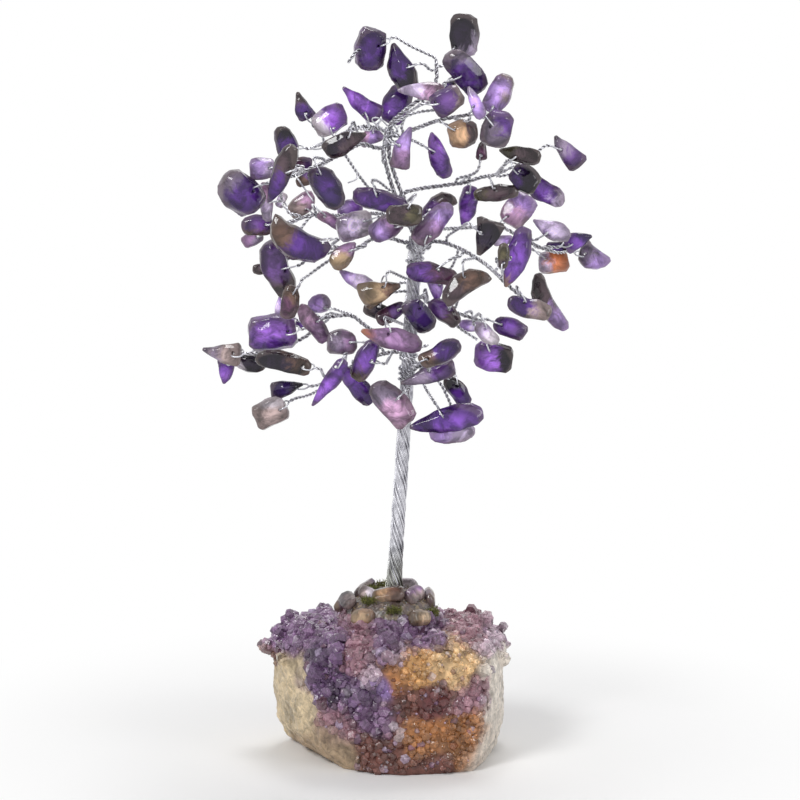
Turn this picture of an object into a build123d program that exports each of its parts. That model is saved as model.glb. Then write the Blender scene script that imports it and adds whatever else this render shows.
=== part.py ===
from build123d import *
import math
import os

# A gemstone tree: a rough crystal stone carries a twisted wire trunk, thirteen wire boughs leave it,
# and every twig of twisted wire holds one drilled, tumbled chip of stone.
# Millimetres. Z is up, the front looks along -Y, and the origin is the middle of the stone's flat underside.

# Stone base
stone_width = 62.0
stone_depth = 50.0
stone_height = 35.0
socket_depth = 12.0
socket_clearance = 0.1
crystal_radius = 1.9
crystal_height = 3.0
crystal_variety = 0.3

# Glue mound, with the chips and the moss that hide it
mound_width = 28.0
mound_height = 11.0
mound_sink = 1.2
mound_sides = 12
lobe_share = 0.08
foot_chip_length = 7.4
foot_chip_width = 5.0
moss_length = 3.2
moss_width = 2.0

# Trunk, a core of straight wires inside one layer of laid strands
trunk_radius = 1.85
trunk_top = 140.0
trunk_lean = 3.6
strand_count = 12
strand_gap_share = 0.03
lay_length = 25.0
core_clearance = 0.03
leader_radius = 0.55
leader_spread = 0.95

# Crown, as it is seen from the front a little above level
crown_reach = 53.0
crown_half_depth = 36.0
crown_seen_height = 140.0
crown_across = 3.0
view_lift = 10.0

# Wire of the boughs and twigs
wire_diameter = 0.45
bend_share = 0.45
end_bend_share = 0.9
least_bend = 1.0
bough_radius = 0.7
bough_gap = 0.3
twig_radius = 0.5
twig_gap = 0.05
twig_lead = 1.15
leg_gap = 0.02

# Chips of the crown
chip_length = 10.6
chip_thickness_share = 0.66
chip_sides = 7
facet_share = 0.07
roll_angle = 16.0
pitch_angle = 7.0
hole_clearance = 0.19
hole_inset = 2.0
loop_clearance = 0.2
loop_overhang = 1.7
rim_clearance = 0.5
leg_straight = 0.45
leg_root_share = 0.3
search_share = 0.01

# Forms of a tumbled chip, from its blunt end to its tip: along, width, thickness and sideways shares
chip_form_shares = {
    "pebble": [
        (-0.50, 0.42, 0.45, 0.00), (-0.38, 0.80, 0.80, 0.02), (-0.10, 1.00, 1.00, 0.00),
        (0.22, 0.94, 0.95, -0.03), (0.40, 0.70, 0.72, -0.01), (0.50, 0.36, 0.40, 0.00),
    ],
    "block": [
        (-0.50, 0.60, 0.58, -0.02), (-0.40, 0.92, 0.90, 0.00), (0.02, 1.00, 1.00, 0.02),
        (0.38, 0.90, 0.88, 0.00), (0.50, 0.56, 0.55, 0.03),
    ],
    "bar": [
        (-0.50, 0.48, 0.50, 0.03), (-0.42, 0.84, 0.85, 0.00), (-0.10, 1.00, 1.00, -0.03),
        (0.22, 0.96, 0.98, 0.02), (0.42, 0.76, 0.80, 0.04), (0.50, 0.38, 0.45, 0.05),
    ],
    "bean": [
        (-0.50, 0.44, 0.50, -0.22), (-0.40, 0.82, 0.85, -0.12), (-0.08, 1.00, 1.00, 0.10),
        (0.24, 0.92, 0.95, 0.08), (0.42, 0.70, 0.75, -0.10), (0.50, 0.40, 0.45, -0.20),
    ],
    "drop": [
        (-0.50, 0.46, 0.48, 0.00), (-0.40, 0.84, 0.85, -0.02), (-0.16, 1.00, 1.00, 0.00),
        (0.12, 0.80, 0.86, 0.03), (0.36, 0.44, 0.55, 0.02), (0.50, 0.14, 0.24, 0.00),
    ],
    "wedge": [
        (-0.50, 0.74, 0.60, 0.00), (-0.42, 1.00, 0.90, 0.00), (-0.10, 0.80, 1.00, 0.04),
        (0.24, 0.48, 0.80, 0.02), (0.50, 0.15, 0.32, -0.04),
    ],
}

# Leader: its route above the fork as shares of the crown, and how far apart its two wires are along it
leader_route_shares = [(0.01, 0.125, 0.00), (-0.04, 0.25, 0.00), (-0.08, 0.38, 0.00), (-0.05, 0.49, 0.00)]
leader_spread_shares = [(0.0, 0.66), (0.26, 1.0), (0.50, 0.86), (0.78, 0.68), (1.0, 0.68)]

# Boughs: the carrier and the share of its height where each one leaves, then the points of its route
# as shares of the crown: across, up and depth
bough_shares = {
    "top_bough": ("leader", 1.00, [
        (0.04, 0.59, 0.00), (0.13, 0.655, 0.03), (0.185, 0.72, 0.07), (0.18, 0.815, 0.07),
    ]),
    "top_right_bough": ("leader", 0.955, [
        (0.06, 0.48, -0.05), (0.185, 0.52, -0.18), (0.31, 0.54, -0.25), (0.37, 0.545, -0.28),
    ]),
    "upper_left_bough": ("leader", 0.97, [
        (-0.175, 0.51, 0.10), (-0.275, 0.48, 0.18), (-0.35, 0.44, 0.23), (-0.41, 0.42, 0.26),
    ]),
    "left_shoulder_bough": ("leader", 0.82, [
        (-0.19, 0.415, -0.10), (-0.275, 0.36, -0.20), (-0.36, 0.315, -0.27), (-0.435, 0.28, -0.30),
        (-0.51, 0.245, -0.33), (-0.595, 0.222, -0.36),
    ]),
    "left_bough": ("leader", 0.16, [
        (-0.075, 0.08, 0.16), (-0.175, 0.085, 0.27), (-0.275, 0.075, 0.34), (-0.375, 0.08, 0.40),
        (-0.44, 0.085, 0.43), (-0.56, 0.05, 0.47),
    ]),
    "middle_left_bough": ("trunk", 0.985, [
        (-0.06, -0.04, 0.05), (-0.14, -0.05, 0.00), (-0.20, -0.10, -0.12), (-0.275, -0.11, -0.20),
        (-0.32, -0.095, -0.24),
    ]),
    "low_left_bough": ("trunk", 0.775, [
        (-0.10, -0.52, 0.12), (-0.165, -0.485, 0.22), (-0.24, -0.42, 0.30), (-0.325, -0.425, 0.33),
        (-0.41, -0.44, 0.36), (-0.45, -0.515, 0.38), (-0.55, -0.57, 0.40), (-0.71, -0.59, 0.40),
    ]),
    "lower_left_bough": ("trunk", 0.735, [
        (-0.11, -0.625, 0.06), (-0.19, -0.66, 0.07), (-0.25, -0.69, 0.04), (-0.31, -0.715, -0.06),
        (-0.36, -0.73, -0.12),
    ]),
    "lower_right_bough": ("trunk", 0.70, [
        (0.09, -0.68, -0.14), (0.16, -0.70, -0.22), (0.225, -0.74, -0.26),
    ]),
    "low_right_bough": ("trunk", 0.865, [
        (0.125, -0.36, -0.03), (0.20, -0.38, -0.03), (0.285, -0.42, 0.00), (0.39, -0.45, 0.05),
    ]),
    "middle_right_bough": ("trunk", 0.975, [
        (0.15, -0.06, 0.00), (0.22, -0.07, -0.11), (0.29, -0.10, -0.19), (0.34, -0.13, -0.25),
        (0.41, -0.175, -0.30), (0.465, -0.22, -0.33), (0.51, -0.27, -0.34), (0.585, -0.335, -0.34),
        (0.65, -0.375, -0.33),
    ]),
    "right_bough": ("leader", 0.10, [
        (0.20, 0.005, 0.30), (0.325, 0.02, 0.52), (0.42, 0.03, 0.64), (0.50, 0.045, 0.70),
        (0.57, 0.01, 0.75), (0.65, -0.035, 0.80), (0.725, -0.07, 0.84), (0.80, -0.09, 0.88),
    ]),
    "upper_right_bough": ("leader", 0.38, [
        (0.08, 0.195, 0.08), (0.16, 0.21, 0.13), (0.25, 0.22, 0.16), (0.335, 0.235, 0.18),
        (0.40, 0.26, 0.18), (0.475, 0.27, 0.18), (0.53, 0.295, 0.18),
    ]),
}

# Chips of each bough: form, place in the crown (across, up, depth), length and width as shares of the
# chip length, the way the tip points and the way the twig leaves (degrees, as seen), the share of the
# bough where the twig starts, and the points that the twig passes
chip_shares = {
    "top_bough": [
        ("block", (-0.145, 0.88, 0.03), 0.98, 0.72, 80, 25, 1.00, [(0.05, 0.895, 0.07)]),
        ("drop", (0.01, 0.785, 0.05), 1.20, 0.65, 110, 15, 0.91, []),
        ("block", (0.315, 0.94, 0.02), 0.98, 0.75, 95, 235, 0.955, []),
        ("bar", (0.32, 0.75, -0.16), 1.25, 0.70, 120, 205, 0.64, [(0.225, 0.70, 0.00)]),
        ("wedge", (0.235, 0.705, 0.20), 0.45, 0.30, 200, 200, 0.74, []),
        ("drop", (0.105, 0.665, -0.13), 1.10, 0.45, 172, 350, 0.50, [(0.30, 0.63, -0.03)]),
    ],
    "top_right_bough": [
        ("block", (0.23, 0.60, -0.36), 0.75, 0.65, 40, 185, 0.12, [(0.03, 0.555, -0.10), (0.10, 0.59, -0.24)]),
        ("block", (0.485, 0.645, -0.22), 0.95, 0.60, 60, 240, 1.00, []),
        ("drop", (0.365, 0.585, -0.52), 0.80, 0.35, 115, 250, 0.78, []),
        ("block", (0.305, 0.44, -0.40), 0.70, 0.65, 10, 150, 0.58, []),
        ("block", (0.47, 0.46, -0.40), 0.85, 0.70, 70, 130, 0.95, []),
    ],
    "upper_left_bough": [
        ("wedge", (-0.485, 0.615, 0.28), 0.70, 0.50, 120, 300, 0.90, [(-0.39, 0.48, 0.26)]),
        ("block", (-0.345, 0.54, 0.13), 0.82, 0.70, 20, 285, 0.50, []),
        ("wedge", (-0.195, 0.615, 0.00), 1.10, 0.55, 145, 290, 0.30, []),
        ("bar", (-0.565, 0.425, 0.30), 0.90, 0.55, 100, 350, 1.00, []),
        ("block", (-0.15, 0.46, 0.32), 0.55, 0.40, 30, 60, 0.16, []),
    ],
    "left_shoulder_bough": [
        ("drop", (-0.265, 0.40, -0.42), 1.10, 0.55, 25, 70, 0.22, []),
        ("block", (-0.48, 0.31, -0.06), 0.45, 0.35, 0, 220, 0.84, []),
        ("bar", (-0.448, 0.245, -0.20), 0.65, 0.30, 35, 40, 0.50, []),
        ("pebble", (-0.355, 0.185, -0.42), 1.10, 0.65, 115, 115, 0.58, []),
        ("drop", (-0.575, 0.24, -0.56), 1.50, 0.55, 252, 20, 0.82, []),
        ("bar", (-0.66, 0.125, -0.15), 0.95, 0.30, 270, 0, 0.92, [(-0.59, 0.16, -0.20)]),
        ("block", (-0.67, 0.285, -0.30), 0.60, 0.55, 10, 0, 0.76, [(-0.54, 0.28, -0.31)]),
        ("block", (-0.775, 0.16, -0.34), 1.10, 0.90, 135, 20, 1.00, []),
    ],
    "left_bough": [
        ("block", (-0.225, 0.02, 0.14), 0.85, 0.65, 10, 20, 0.12, []),
        ("block", (-0.255, 0.115, 0.50), 0.60, 0.45, 20, 300, 0.42, []),
        ("bar", (-0.35, 0.05, 0.27), 0.60, 0.30, 140, 140, 0.78, [(-0.44, 0.13, 0.33)]),
        ("pebble", (-0.495, 0.14, 0.62), 0.75, 0.50, 50, 320, 0.70, []),
        ("block", (-0.595, 0.155, 0.40), 0.35, 0.25, 60, 300, 0.90, []),
        ("block", (-0.715, 0.03, 0.36), 0.70, 0.50, 10, 10, 1.00, []),
        ("block", (-0.75, -0.035, 0.54), 0.50, 0.35, 30, 30, 0.95, []),
    ],
    "middle_left_bough": [
        ("drop", (-0.275, -0.14, -0.45), 0.80, 0.50, 40, 20, 0.63, []),
        ("bean", (-0.50, -0.08, -0.42), 1.55, 0.75, 155, 5, 1.00, []),
        ("bar", (-0.605, -0.21, -0.12), 1.50, 0.72, 280, 15, 0.84, [(-0.44, -0.14, -0.16)]),
        ("bar", (-0.685, -0.195, 0.08), 0.50, 0.25, 10, 20, 0.76, [(-0.44, -0.10, 0.00)]),
        ("bar", (-0.54, -0.365, -0.30), 0.80, 0.45, 75, 60, 0.92, [(-0.37, -0.18, -0.28), (-0.465, -0.25, -0.28)]),
    ],
    "low_left_bough": [
        ("pebble", (-0.415, -0.365, 0.46), 0.52, 0.48, 30, 340, 0.40, []),
        ("bar", (-0.435, -0.47, 0.14), 1.15, 0.42, 125, 35, 0.46, []),
        ("wedge", (-0.61, -0.37, 0.44), 0.45, 0.30, 90, 320, 0.58, [(-0.50, -0.46, 0.42)]),
        ("pebble", (-0.50, -0.46, 0.54), 0.25, 0.22, 0, 340, 0.54, []),
        ("block", (-0.645, -0.515, 0.22), 1.15, 0.95, 0, 10, 0.64, []),
        ("wedge", (-0.905, -0.61, 0.30), 0.95, 0.62, 180, 0, 1.00, []),
        ("wedge", (-0.89, -0.705, 0.46), 0.60, 0.45, 260, 60, 0.965, [(-0.775, -0.62, 0.46)]),
        ("pebble", (-0.765, -0.66, 0.56), 0.75, 0.55, 0, 40, 0.92, []),
    ],
    "lower_left_bough": [
        ("block", (-0.29, -0.565, -0.10), 0.70, 0.60, 0, 0, 0.20, [(-0.145, -0.565, -0.02)]),
        ("bar", (-0.17, -0.655, -0.28), 1.05, 0.48, 60, 350, 0.10, []),
        ("bar", (-0.21, -0.785, -0.10), 1.15, 0.50, 130, 100, 0.56, []),
        ("drop", (-0.35, -0.77, -0.42), 1.35, 0.38, 227, 60, 0.80, []),
        ("bar", (-0.57, -0.665, -0.40), 1.30, 0.55, 172, 352, 1.00, []),
        ("wedge", (-0.555, -0.79, -0.22), 0.80, 0.50, 10, 5, 0.94, []),
        ("block", (-0.64, -0.915, -0.34), 0.82, 0.68, 30, 30, 0.74, [(-0.45, -0.83, -0.24)]),
    ],
    "lower_right_bough": [
        ("bar", (0.20, -0.625, -0.64), 1.05, 0.50, 25, 205, 0.30, []),
        ("wedge", (0.14, -0.73, -0.41), 1.38, 0.50, 195, 80, 0.58, []),
        ("bar", (0.285, -0.81, -0.12), 0.85, 0.45, 130, 95, 1.00, []),
        ("drop", (0.225, -0.95, -0.42), 1.75, 0.70, 185, 120, 0.42, [(0.125, -0.79, -0.28)]),
        ("bar", (0.265, -1.02, -0.24), 1.10, 0.40, 12, 95, 0.84, [(0.215, -0.79, -0.23), (0.255, -0.88, -0.24)]),
    ],
    "low_right_bough": [
        ("block", (0.09, -0.435, -0.28), 0.85, 0.65, 120, 75, 0.14, []),
        ("bar", (0.225, -0.42, -0.16), 0.85, 0.48, 140, 50, 0.56, []),
        ("bar", (0.375, -0.48, 0.22), 0.75, 0.30, 170, 100, 0.80, []),
        ("pebble", (0.435, -0.525, -0.14), 0.65, 0.40, 140, 110, 0.90, []),
        ("bar", (0.555, -0.49, 0.12), 0.80, 0.48, 160, 160, 1.00, []),
        ("block", (0.47, -0.635, 0.12), 0.90, 0.75, 160, 110, 0.96, [(0.41, -0.50, 0.10)]),
    ],
    "middle_right_bough": [
        ("bar", (0.15, -0.23, -0.30), 1.25, 0.50, 175, 35, 0.40, [(0.28, -0.15, -0.24)]),
        ("wedge", (0.18, -0.31, -0.08), 0.55, 0.40, 270, 60, 0.34, [(0.26, -0.19, -0.10)]),
        ("bean", (0.315, -0.295, -0.52), 1.25, 0.55, 35, 95, 0.50, []),
        ("wedge", (0.42, -0.06, -0.48), 0.85, 0.70, 250, 140, 0.24, [(0.27, -0.02, -0.22), (0.325, 0.01, -0.36)]),
        ("block", (0.51, -0.065, -0.18), 0.45, 0.25, 10, 280, 0.66, []),
        ("drop", (0.565, -0.16, -0.50), 1.50, 0.60, 255, 180, 0.79, []),
        ("bar", (0.50, -0.16, -0.70), 0.55, 0.25, 80, 265, 0.61, []),
        ("bean", (0.735, -0.375, -0.18), 1.62, 0.48, 122, 190, 1.00, []),
        ("bar", (0.63, -0.405, -0.56), 1.05, 0.50, 155, 120, 0.88, []),
    ],
    "right_bough": [
        ("block", (0.60, 0.115, 0.60), 0.90, 0.70, 60, 220, 0.52, []),
        ("drop", (0.775, 0.02, 0.66), 1.05, 0.50, 152, 215, 0.78, []),
        ("wedge", (0.92, -0.03, 0.82), 0.70, 0.50, 20, 200, 0.94, []),
        ("bean", (0.995, -0.11, 0.95), 0.80, 0.55, 140, 170, 1.00, []),
        ("block", (0.80, -0.135, 1.08), 0.75, 0.65, 0, 150, 0.84, []),
        ("bar", (0.815, -0.06, 0.98), 0.55, 0.30, 5, 180, 0.89, []),
    ],
    "upper_right_bough": [
        ("drop", (0.34, 0.12, 0.31), 1.00, 0.50, 250, 85, 0.58, []),
        ("wedge", (0.41, 0.39, 0.10), 0.45, 0.30, 90, 260, 0.52, [(0.36, 0.27, 0.15)]),
        ("drop", (0.59, 0.355, -0.14), 1.00, 0.45, 165, 215, 0.91, []),
        ("wedge", (0.835, 0.395, 0.24), 0.95, 0.60, 130, 165, 1.00, [(0.61, 0.33, 0.22), (0.68, 0.38, 0.22)]),
        ("block", (0.62, 0.245, 0.04), 0.75, 0.60, 145, 130, 0.97, []),
        ("bar", (0.72, 0.195, 0.24), 1.10, 0.50, 318, 150, 0.90, []),
        ("bar", (0.475, 0.175, 0.04), 1.10, 0.42, 192, 110, 0.70, []),
    ],
    "leader": [
        ("block", (-0.015, 0.62, 0.20), 0.90, 0.65, 60, 270, 0.97, []),
        ("wedge", (0.02, 0.38, -0.24), 1.00, 0.55, 80, 150, 0.86, []),
        ("drop", (0.19, 0.355, -0.14), 1.20, 0.48, 105, 150, 0.90, [(0.06, 0.43, -0.10)]),
        ("bar", (-0.10, 0.125, -0.26), 1.30, 0.50, 165, 110, 0.45, [(-0.11, 0.23, -0.12)]),
        ("block", (0.02, 0.05, -0.46), 0.85, 0.55, 5, 60, 0.30, []),
        ("block", (-0.07, 0.00, -0.17), 0.80, 0.60, 30, 20, 0.08, []),
        ("bean", (0.19, 0.11, -0.10), 0.85, 0.45, 35, 215, 0.20, []),
    ],
    "trunk": [
        ("bar", (0.165, 0.01, -0.34), 1.20, 0.55, 38, 250, 0.94, [(0.09, -0.10, -0.20)]),
        ("wedge", (-0.095, -0.315, -0.26), 0.95, 0.70, 25, 70, 0.905, []),
        ("block", (-0.11, -0.41, -0.04), 0.65, 0.40, 160, 70, 0.875, []),
        ("bar", (-0.04, -0.42, -0.16), 0.70, 0.40, 25, 20, 0.84, []),
        ("drop", (-0.215, -0.255, -0.06), 0.85, 0.42, 155, 340, 0.895, [(-0.04, -0.28, -0.03)]),
        ("drop", (-0.04, -0.55, -0.48), 1.50, 0.60, 158, 110, 0.80, []),
        ("bar", (-0.04, -0.87, -0.32), 1.25, 0.70, 135, 45, 0.62, []),
    ],
}

# Outlines of the stone at its foot and at its shoulder, as shares of its half width and half depth,
# and its levels: height, mix of the two outlines and spread
foot_outline_shares = [
    (-0.85, 0.42), (-0.64, -0.08), (-0.38, -0.74), (-0.10, -0.93), (0.12, -1.00), (0.42, -0.94),
    (0.73, -0.82), (0.83, -0.46), (0.95, 0.29), (0.83, 0.73), (0.37, 0.96), (-0.25, 1.00), (-0.65, 0.81),
]
shoulder_outline_shares = [
    (-1.00, 0.31), (-0.86, -0.27), (-0.62, -0.69), (-0.25, -0.92), (0.12, -0.96), (0.46, -0.92),
    (0.77, -0.77), (0.92, -0.31), (1.00, 0.31), (0.86, 0.73), (0.37, 0.96), (-0.28, 0.96), (-0.74, 0.77),
]
stone_level_shares = [
    (0.00, 0.00, 0.97), (0.05, 0.25, 1.00), (0.22, 0.80, 1.00), (0.45, 1.00, 1.00),
    (0.82, 1.00, 1.00), (0.93, 1.00, 0.95), (1.00, 1.00, 0.80),
]

# A crystal point's levels from its root to its tip: height and girth
crystal_level_shares = [(-0.5, 1.0), (0.45, 0.92), (1.0, 0.12)]

# Crystal rows on the stone: level, number of points and lean outwards in degrees
crystal_row_shares = [(0.985, 11, 15), (0.90, 13, 48), (0.76, 12, 78)]

# Foot chips: turn round the trunk in degrees, distance and height as shares of the mound, size and tilt
foot_chip_shares = [
    (270, 0.45, 0.95, 0.90, 10), (215, 0.48, 0.93, 0.62, 14), (190, 0.80, 0.72, 0.75, 24),
    (235, 0.85, 0.46, 0.80, 30), (335, 0.55, 0.90, 0.75, 16), (312, 0.89, 0.45, 0.80, 30),
    (10, 0.80, 0.70, 0.80, 26), (60, 0.55, 0.90, 0.85, 14), (105, 0.76, 0.72, 0.80, 24),
    (150, 0.54, 0.90, 0.80, 14), (155, 0.94, 0.45, 0.80, 30), (45, 0.94, 0.45, 0.80, 30),
]

# The mound's levels: height and girth
mound_level_shares = [(0.0, 1.0), (0.35, 0.93), (0.70, 0.78), (0.92, 0.52), (1.0, 0.26)]

# Moss tufts: turn round the trunk in degrees, distance and height as shares of the mound
moss_shares = [(236, 0.62, 0.86), (278, 0.77, 0.70), (342, 0.88, 0.50), (178, 0.30, 0.98), (107, 0.36, 0.97)]

crown_shift = Vector(crown_across, 0, 0)
wire_radius = wire_diameter / 2
bail_gap = wire_radius + leg_gap
full_turn = 360.0


def seen(across_share, up_share, depth_share):
    """A place in the crown, from where it is seen across and up from the front, and its depth."""
    lift = math.radians(view_lift)
    depth = depth_share * crown_half_depth
    seen_up = crown_seen_height + up_share * crown_reach
    return Vector(across_share * crown_reach, depth, (seen_up - depth * math.sin(lift)) / math.cos(lift)) + crown_shift


def rounded_route(points, end_share=bend_share):
    """A wire of straight runs, with an arc at each corner as large as the runs beside it allow.

    An arc takes its share of the shorter run beside it; the first and the last run can give more.
    """
    edges = []
    start = points[0]
    for before, corner, after in zip(points, points[1:], points[2:]):
        inward = (corner - before).normalized()
        outward = (after - corner).normalized()
        if inward.get_angle(outward) < least_bend:
            continue
        share_before = end_share if before is points[0] else bend_share
        share_after = end_share if after is points[-1] else bend_share
        setback = min(share_before * (corner - before).length, share_after * (after - corner).length)
        edges.append(Line(start, corner - inward * setback))
        edges.append(TangentArc(corner - inward * setback, corner + outward * setback, tangent=inward))
        start = corner + outward * setback
    edges.append(Line(start, points[-1]))
    return Wire(edges)


def tube(path, radius):
    """A round wire along a path."""
    start = Plane(origin=path @ 0, z_dir=path % 0)
    return sweep(start * Circle(radius), path=path).solid()


def trunk_base():
    """The bottom of the socket, where the trunk stands."""
    return Vector(0, 0, stone_height - socket_depth)


def trunk_axis():
    """The trunk's axis, from the bottom of the socket to the fork, leaning to the right."""
    lean = math.radians(trunk_lean)
    rise = trunk_top - trunk_base().Z
    return Line(trunk_base(), trunk_base() + Vector(math.tan(lean) * rise, 0, rise))


def trunk_place():
    """The frame in which the trunk's axis is Z."""
    axis = trunk_axis()
    return Plane(origin=axis @ 0, x_dir=Vector(1, 0, 0).cross(axis % 0).cross(axis % 0) * -1, z_dir=axis % 0)


def leader_line():
    """The middle line of the two leader wires, from the fork to where the top boughs fan out."""
    axis = trunk_axis()
    top = axis @ 1 + (axis % 1) * leader_radius
    return rounded_route([top] + [seen(*place) for place in leader_route_shares])


def stone_section(height_share, mix_share, spread_share):
    """The stone's outline at one level."""
    corners = []
    for foot, shoulder in zip(foot_outline_shares, shoulder_outline_shares):
        across = foot[0] + (shoulder[0] - foot[0]) * mix_share
        back = foot[1] + (shoulder[1] - foot[1]) * mix_share
        corners.append(Vector(
            across * spread_share * stone_width / 2,
            back * spread_share * stone_depth / 2,
            height_share * stone_height,
        ))
    return Wire.make_polygon(corners, close=True)


def socket(clearance):
    """The round hole for the trunk, from the bottom of the socket upwards."""
    length = (trunk_axis().length + stone_height) / 2
    hole = Cylinder(trunk_radius + clearance, length, align=(Align.CENTER, Align.CENTER, Align.MIN))
    return trunk_place() * hole


def crystal(radius, height):
    """One six-sided crystal point, standing on Z = 0 with its root below."""
    rings = []
    for rise_share, girth_share in crystal_level_shares:
        place = Plane(origin=(0, 0, rise_share * height))
        rings.append((place * RegularPolygon(girth_share * radius, 6)).wire())
    return Solid.make_loft(rings, ruled=True)


def crystal_places():
    """Where the crystal points stand: rows round the top and the shoulder of the stone."""
    places = []
    for row, (level_share, count, lean) in enumerate(crystal_row_shares):
        below = [level for level in stone_level_shares if level[0] <= level_share][-1]
        above = [level for level in stone_level_shares if level[0] > level_share][0]
        rise = (level_share - below[0]) / (above[0] - below[0])
        mix = below[1] + (above[1] - below[1]) * rise
        spread = below[2] + (above[2] - below[2]) * rise
        ring = stone_section(level_share, mix, spread)
        for step in range(count):
            share = (step + 0.5 * (row % 2)) / count
            point = ring.position_at(share)
            outward = Vector(point.X, point.Y, 0).normalized()
            tilt = math.radians(lean)
            up = Vector(0, 0, math.cos(tilt)) + outward * math.sin(tilt)
            size = 1 + crystal_variety * math.sin(2.4 * len(places))
            places.append((Plane(origin=point, z_dir=up), size))
    return places


def stone_base():
    """The natural stone with its crust of crystal points, sawn flat underneath and drilled for the trunk."""
    rock = Solid.make_loft([stone_section(*level) for level in stone_level_shares], ruled=True)
    points = [
        place * crystal(size * crystal_radius, size * crystal_height)
        for place, size in crystal_places()
        if place.origin.Y < stone_depth / 4 or place.z_dir.Z > 0.6
    ]
    return rock.fuse(*points).cut(socket(socket_clearance)).solid()


def mound_body():
    """The mound of set glue round the trunk's foot, before anything is pressed into it."""
    rings = []
    for rise_share, girth_share in mound_level_shares:
        corners = []
        for step in range(mound_sides):
            turn = math.radians(step * full_turn / mound_sides)
            reach = girth_share * mound_width / 2 * (1 + lobe_share * math.sin(3 * turn + 1))
            place = Vector(math.cos(turn), math.sin(turn), 0) * reach
            corners.append(place + Vector(0, 0, stone_height - mound_sink + rise_share * mound_height))
        rings.append(Wire.make_polygon(corners, close=True))
    return Solid.make_loft(rings, ruled=True)


def foot_chips():
    """The stone chips pressed into the glue round the trunk."""
    chips = []
    for number, (turn, reach_share, rise_share, size_share, tilt) in enumerate(foot_chip_shares):
        heading = Vector(math.cos(math.radians(turn)), math.sin(math.radians(turn)), 0)
        place = heading * reach_share * mound_width / 2
        place += Vector(0, 0, stone_height - mound_sink + rise_share * mound_height)
        up = Vector(0, 0, math.cos(math.radians(tilt))) + heading * math.sin(math.radians(tilt))
        body = chip_body("block", foot_chip_length * size_share, foot_chip_width * size_share, number)
        chips.append(Plane(origin=place, x_dir=Vector(-heading.Y, heading.X, 0), z_dir=up) * body)
    return chips


def moss_tufts():
    """The small tufts of moss between the foot chips."""
    tufts = []
    for number, (turn, reach_share, rise_share) in enumerate(moss_shares):
        heading = Vector(math.cos(math.radians(turn)), math.sin(math.radians(turn)), 0)
        place = heading * reach_share * mound_width / 2
        place += Vector(0, 0, stone_height - mound_sink + rise_share * mound_height)
        body = chip_body("bean", moss_length, moss_width, number)
        tufts.append(Plane(origin=place, x_dir=Vector(-heading.Y, heading.X, 0), z_dir=(0, 0, 1)) * body)
    return tufts


def trunk_strands():
    """The outer strands of the trunk, laid round the core in one left-hand twist."""
    radius = strand_radius()
    length = trunk_axis().length
    strands = []
    for number in range(strand_count):
        middle = Rot(Z=number * full_turn / strand_count) * Pos(trunk_radius - radius, 0, 0)
        section = (middle * Circle(radius)).face()
        lay = -full_turn * length / lay_length
        strand = Solid.extrude_linear_with_rotation(section, center=(0, 0, 0), normal=(0, 0, length), angle=lay)
        strands.append(trunk_place() * strand)
    return strands


def strand_radius():
    """The radius of a strand that just fits beside its neighbours round the trunk."""
    sine = math.sin(math.pi / strand_count)
    return trunk_radius * sine / (1 + strand_gap_share + sine)


def trunk_core():
    """The straight inner bundle of the trunk."""
    radius = trunk_radius - 2 * strand_radius() - core_clearance
    core = Cylinder(radius, trunk_axis().length, align=(Align.CENTER, Align.CENTER, Align.MIN))
    return trunk_place() * core


def leader_wires():
    """The two wires of the leader, side by side with an open slit between them."""
    middle = leader_line()
    wires = []
    for side in (-1, 1):
        points = []
        for share, spread_share in leader_spread_shares:
            across = (middle % share).cross(Vector(0, 1, 0)).normalized()
            points.append(middle @ share + across * side * spread_share * leader_spread)
        wires.append(tube(rounded_route(points), leader_radius))
    return wires


def wire_start(carrier, share, gap, target):
    """Where a wire leaves its carrier, a gap off its surface, and the way it sets off."""
    line, radius, spread = carrier
    point = line @ share
    along = line % share
    if share == 1:
        return point + along * gap, along
    away = target - point
    outward = (away - along * away.dot(along)).normalized()
    across = along.cross(Vector(0, 1, 0)).normalized()
    return point + outward * (radius + spread * abs(outward.dot(across)) + gap), outward


def bough_line(name):
    """The route of one bough, from the carrier outwards."""
    carrier, share, route = bough_shares[name]
    points = [seen(*place) for place in route]
    start, heading = wire_start(carriers[carrier], share, bough_gap, points[0])
    return rounded_route([start, start + heading * 2 * bough_radius] + points)


def outline_reach(form, length, width, heading):
    """How far a chip's outline lies from its middle in one direction of its broad plane."""
    stations = chip_form_shares[form]
    step = width * search_share
    reach = 0
    while True:
        along = reach * heading.X / length
        if abs(along) >= 0.5:
            return reach
        left, right = [(a, b) for a, b in zip(stations, stations[1:]) if a[0] <= along <= b[0]][0]
        mix = (along - left[0]) / (right[0] - left[0])
        half = (left[1] + (right[1] - left[1]) * mix) / 2
        middle = left[3] + (right[3] - left[3]) * mix
        if abs(reach * heading.Y / width - middle) >= half:
            return reach
        reach += step


def thickness_at(form, length, width, along):
    """A chip's full thickness at a distance along it."""
    stations = chip_form_shares[form]
    share = max(-0.5, min(0.5, along / length))
    left, right = [(a, b) for a, b in zip(stations, stations[1:]) if a[0] <= share <= b[0]][0]
    mix = (share - left[0]) / (right[0] - left[0])
    return (left[2] + (right[2] - left[2]) * mix) * width * chip_thickness_share


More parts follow.
